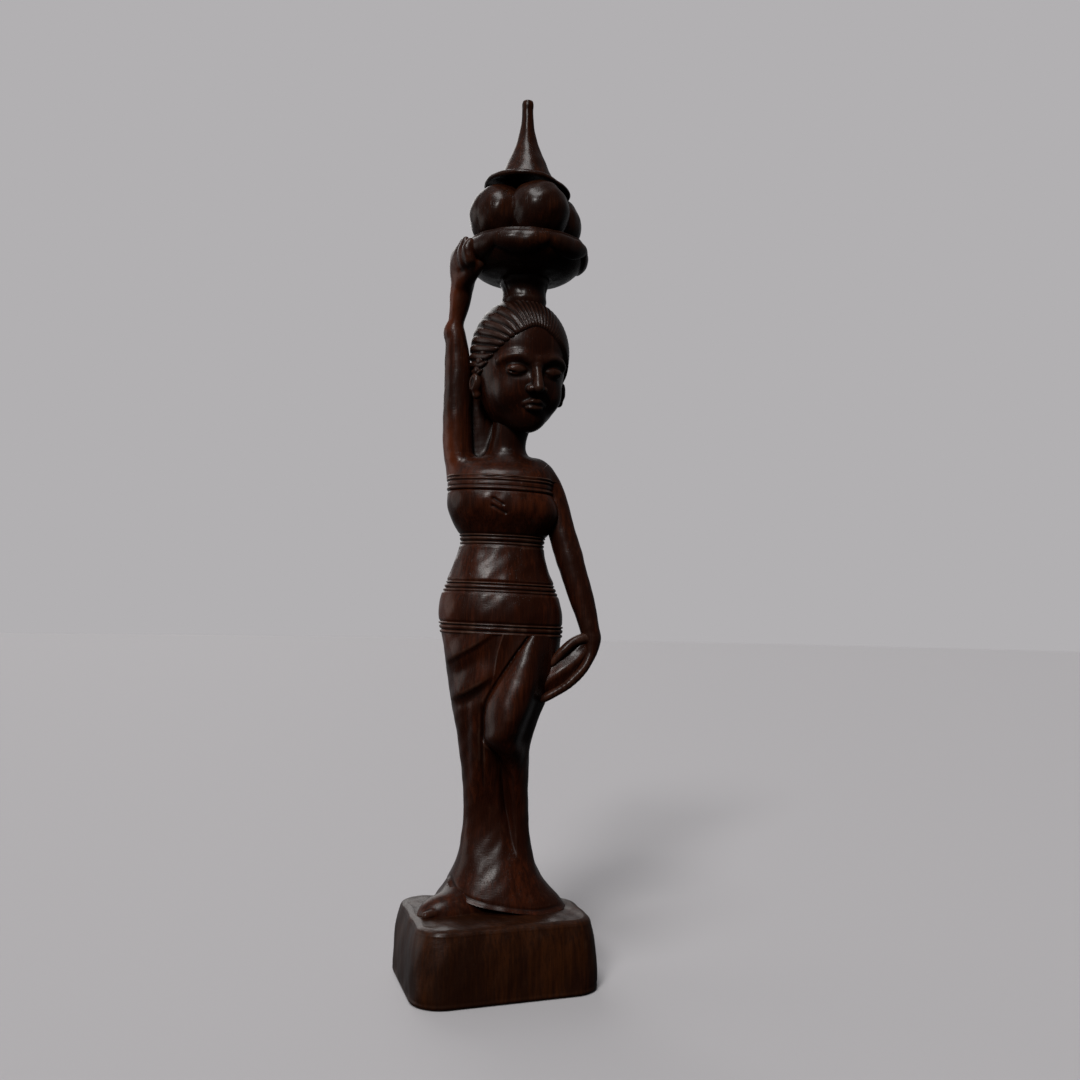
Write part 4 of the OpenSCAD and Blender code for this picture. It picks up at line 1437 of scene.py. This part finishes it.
def wood(name, dark, warm, worn, wear, gloss, streaks, tool_marks, side_light_share):
    """The dark lacquered wood. dark, warm and worn are its colours, wear how far ridges are rubbed, gloss
    its roughness, streaks the share of redder grain, tool_marks the depth of the knife's traces, and the
    last number how strongly painted warm light reddens the side towards minus x. Hollows get painted shade."""
    dark, warm, worn = rgb(*dark), rgb(*warm), rgb(*worn)
    material = bpy.data.materials.new(name)
    material.use_nodes = True
    shop = Workshop(material.node_tree)
    place = shop.node("ShaderNodeTexCoord", {}, {}, output=3)
    relief = shop.node("ShaderNodeAttribute", {"attribute_name": "relief"}, {}, output=2)
    patches = shop.noise(place, 0.11, 3, (1, 1, 0.55))
    fibres = shop.noise(place, 1.5, 5, (1, 1, 0.06), 0.6, 0.4)
    fine = shop.noise(place, 4.5, 4, (1, 1, 0.07), 0.6)
    pores = shop.noise(place, 6.5, 2, (1, 1, 0.09), 0.5)
    rubbed = shop.noise(place, 0.35, 4, (1, 1, 0.5), 0.65)
    knife = shop.noise(place, 0.55, 1, (1.0, 1.0, 0.8), 0.3)
    scratches = shop.noise(place, 2.2, 3, (0.35, 0.35, 2.4), 0.55)
    red = shop.between(fibres * 0.6 + patches * 0.55, 0.5, 0.78, 0, 1) * streaks
    ridge = shop.between(relief + (rubbed - 0.5) * 1.4, 0.3, 1.5)
    groove = shop.between(relief, -0.25, -1.3)
    rub = shop.between(rubbed + ridge * 0.22 * wear, 0.56, 0.86) * wear
    base = shop.blend(red + (fine - 0.5) * 0.35, dark, warm)
    upwards = shop.axis(place, 2)
    # Painted warm light: above the lowest 2 to 3 cm, the side towards minus x turns redder in bands up the
    # height, standing in for light from the left.
    side = shop.between(shop.axis(place, 0) * 1000 + (patches - 0.5) * 14 + (fibres - 0.5) * 4, -6.5, -11.5)
    side_light_bands = shop.node("ShaderNodeMath", {"operation": "SINE"}, {0: upwards * BAND_PACE - BAND_START})
    side = side * (side_light_bands * 0.75 + 0.25) * shop.between(upwards * 1000, 20, 34)
    base = shop.blend(side * side_light_share, base, SIDE_LIGHT_COLOUR)
    base = shop.blend(shop.between(pores, 0.60, 0.70) * 0.55, base, darker(dark, 0.45))
    base = shop.blend(rub * 0.55 + ridge * (0.35 * wear), base, worn)
    # Painted shade: hollows, found by the relief value, are darkened towards a deep brown.
    base = shop.blend(groove * 0.75, base, darker(dark, 0.3))
    roughness = gloss + rub * 0.16 + (fine - 0.5) * 0.12 + groove * 0.22
    surface = knife * (0.6 * tool_marks) + scratches * (0.2 * tool_marks) + fibres * 0.035 + fine * 0.02
    surface = surface - shop.between(pores, 0.6, 0.72) * 0.03
    normal = shop.node("ShaderNodeBump", {}, {"Strength": 0.55, "Distance": 0.0006, "Height": surface})
    shader = shop.node("ShaderNodeBsdfPrincipled", {}, {
        "Base Color": base, "Roughness": roughness, "Normal": normal, "IOR": 1.5, "Specular IOR Level": 0.2,
        "Coat Weight": 0.07, "Coat Roughness": 0.14, "Coat IOR": 1.4})
    shop.node("ShaderNodeOutputMaterial", {}, {"Surface": shader})
    return material


# %% [markdown]
# Six variants follow the six slots of the record. The plinth shows the deepest tool marks, the borders
# the most wear, the hair the least of the redder grain, and the skin the most painted warm light on its side.


# %% The finishes
RECIPES = {  # slot: dark, warm and worn colour, then wear, gloss, streaks, tool marks and painted side light
    "plinth_wood": ((35, 16, 7), (76, 39, 16), (80, 58, 46), 0.5, 0.34, 0.5, 0.35, 0.25),
    "skin_wood": ((38, 16, 8), (88, 40, 19), (88, 62, 50), 0.45, 0.29, 0.55, 0.22, 0.65),
    "cloth_wood": ((40, 16, 7), (88, 39, 18), (90, 64, 52), 0.5, 0.28, 0.5, 0.25, 0.6),
    "border_wood": ((42, 18, 9), (84, 39, 20), (96, 72, 60), 0.7, 0.3, 0.45, 0.2, 0.5),
    "hair_wood": ((38, 18, 11), (72, 37, 22), (84, 62, 54), 0.5, 0.28, 0.4, 0.2, 0.0),
    "offering_wood": ((35, 15, 7), (84, 40, 17), (80, 56, 42), 0.4, 0.27, 0.5, 0.22, 0.0),
}
FINISHES = {slot: wood(slot.replace("_", " ").capitalize(), *recipe) for slot, recipe in RECIPES.items()}
for piece in PIECES:
    piece.data.materials.append(FINISHES[piece["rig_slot"]])
print("finishes:", ", ".join(FINISHES))

# %% [markdown]
# ## Floor, light and camera
#
# A wide pale floor and a pale room. The strongest soft light comes from the front, a little from the left
# and from above, so that the wax shows a broad gleam on each form. A second one falls from above, and two
# weak ones from behind and from the left keep the other sides from going black. The room is dim in front of
# the figure, because polished dark wood shows whatever stands there. The floor isn't mirrored, either.

# %% Floor
FLOOR_REACH = 3.0
FLOOR_GREY, ROOM_GREY = rgb(196, 194, 197), rgb(178, 176, 178)  # they look alike where they meet
bpy.ops.mesh.primitive_circle_add(vertices=128, radius=FLOOR_REACH, fill_type="NGON")
floor = bpy.context.object
floor.name = "Floor"
floor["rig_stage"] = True
floor.visible_glossy = False
floor.visible_diffuse = False
paper = bpy.data.materials.new("Pale floor")
paper.use_nodes = True
shop = Workshop(paper.node_tree)
matt = shop.node("ShaderNodeBsdfPrincipled", {}, {
    "Base Color": FLOOR_GREY, "Roughness": 0.8, "Specular IOR Level": 0.2})
shop.node("ShaderNodeOutputMaterial", {}, {"Surface": matt})
floor.data.materials.append(paper)

# %% Light
def soft_light(name, way, spread, strength, colour):
    """A distant light that shines from a direction; spread is how wide it looks, in degrees."""
    data = bpy.data.lights.new(name, "SUN")
    data.angle = math.radians(spread)
    data.energy = strength
    data.color = colour
    light = bpy.data.objects.new(name, data)
    light.rotation_mode = "QUATERNION"
    light.rotation_quaternion = (-Vector(way)).to_track_quat("-Z", "Y")
    bpy.context.scene.collection.objects.link(light)
    light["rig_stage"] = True


soft_light("Key", (-0.24, -0.79, 0.56), 14, 1.25, (1.0, 0.985, 0.965))
soft_light("Top", (-0.12, -0.4, 0.9), 24, 1.15, (1.0, 0.99, 0.98))
soft_light("Back", (-0.3, 0.8, 0.5), 40, 0.5, (1.0, 0.98, 0.96))
soft_light("Window", (-0.97, 0.1, 0.15), 36, 0.24, (1.0, 0.94, 0.88))

world = bpy.data.worlds.new("Room")
bpy.context.scene.world = world
world.use_nodes = True
room = Workshop(world.node_tree)
way = room.node("ShaderNodeTexCoord", {}, {}, output=0)
aside, ahead, above = (room.axis(way, number) for number in range(3))
lit = room.between(ahead, -0.7, 0.5, 0.06, 0.24) * room.between(aside, 0.9, -0.9, 0.25, 1.35)
lit = lit * room.between(above, -0.5, 0.15, 0.12, 1.0)
seen = room.node("ShaderNodeLightPath", {}, {}, output=0)
strength = lit * (1 - seen) + seen
colour = room.blend(seen, (0.97, 0.97, 1.0, 1), ROOM_GREY)
sky = room.node("ShaderNodeBackground", {}, {"Color": colour, "Strength": strength})
room.node("ShaderNodeOutputWorld", {}, {"Surface": sky})

# %% Camera
LENS, SENSOR = 36.1, 36.0
EYE = (0.0085, -0.2099, 0.0697)
RISE, ROLL = math.radians(4), math.radians(1)
camera_data = bpy.data.cameras.new("Camera")
camera_data.lens = LENS
camera_data.sensor_width = SENSOR
camera_data.clip_start = 0.01
camera_data.clip_end = 20
camera = bpy.data.objects.new("Camera", camera_data)
ahead_way = Vector((0, math.cos(RISE), math.sin(RISE)))
level_up = Vector((0, -math.sin(RISE), math.cos(RISE)))
level_right = Vector((1, 0, 0))
right_way = math.cos(ROLL) * level_right + math.sin(ROLL) * level_up
up_way = math.cos(ROLL) * level_up - math.sin(ROLL) * level_right
turn = Matrix((right_way, up_way, -ahead_way)).transposed()
camera.matrix_world = Matrix.Translation(EYE) @ turn.to_4x4()
bpy.context.scene.collection.objects.link(camera)
bpy.context.scene.camera = camera
bpy.context.scene.view_settings.view_transform = "Standard"

# %% Sizes
low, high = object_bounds()
print("visual: ", [round(v * 1000, 2) for v in [*low, *high]])
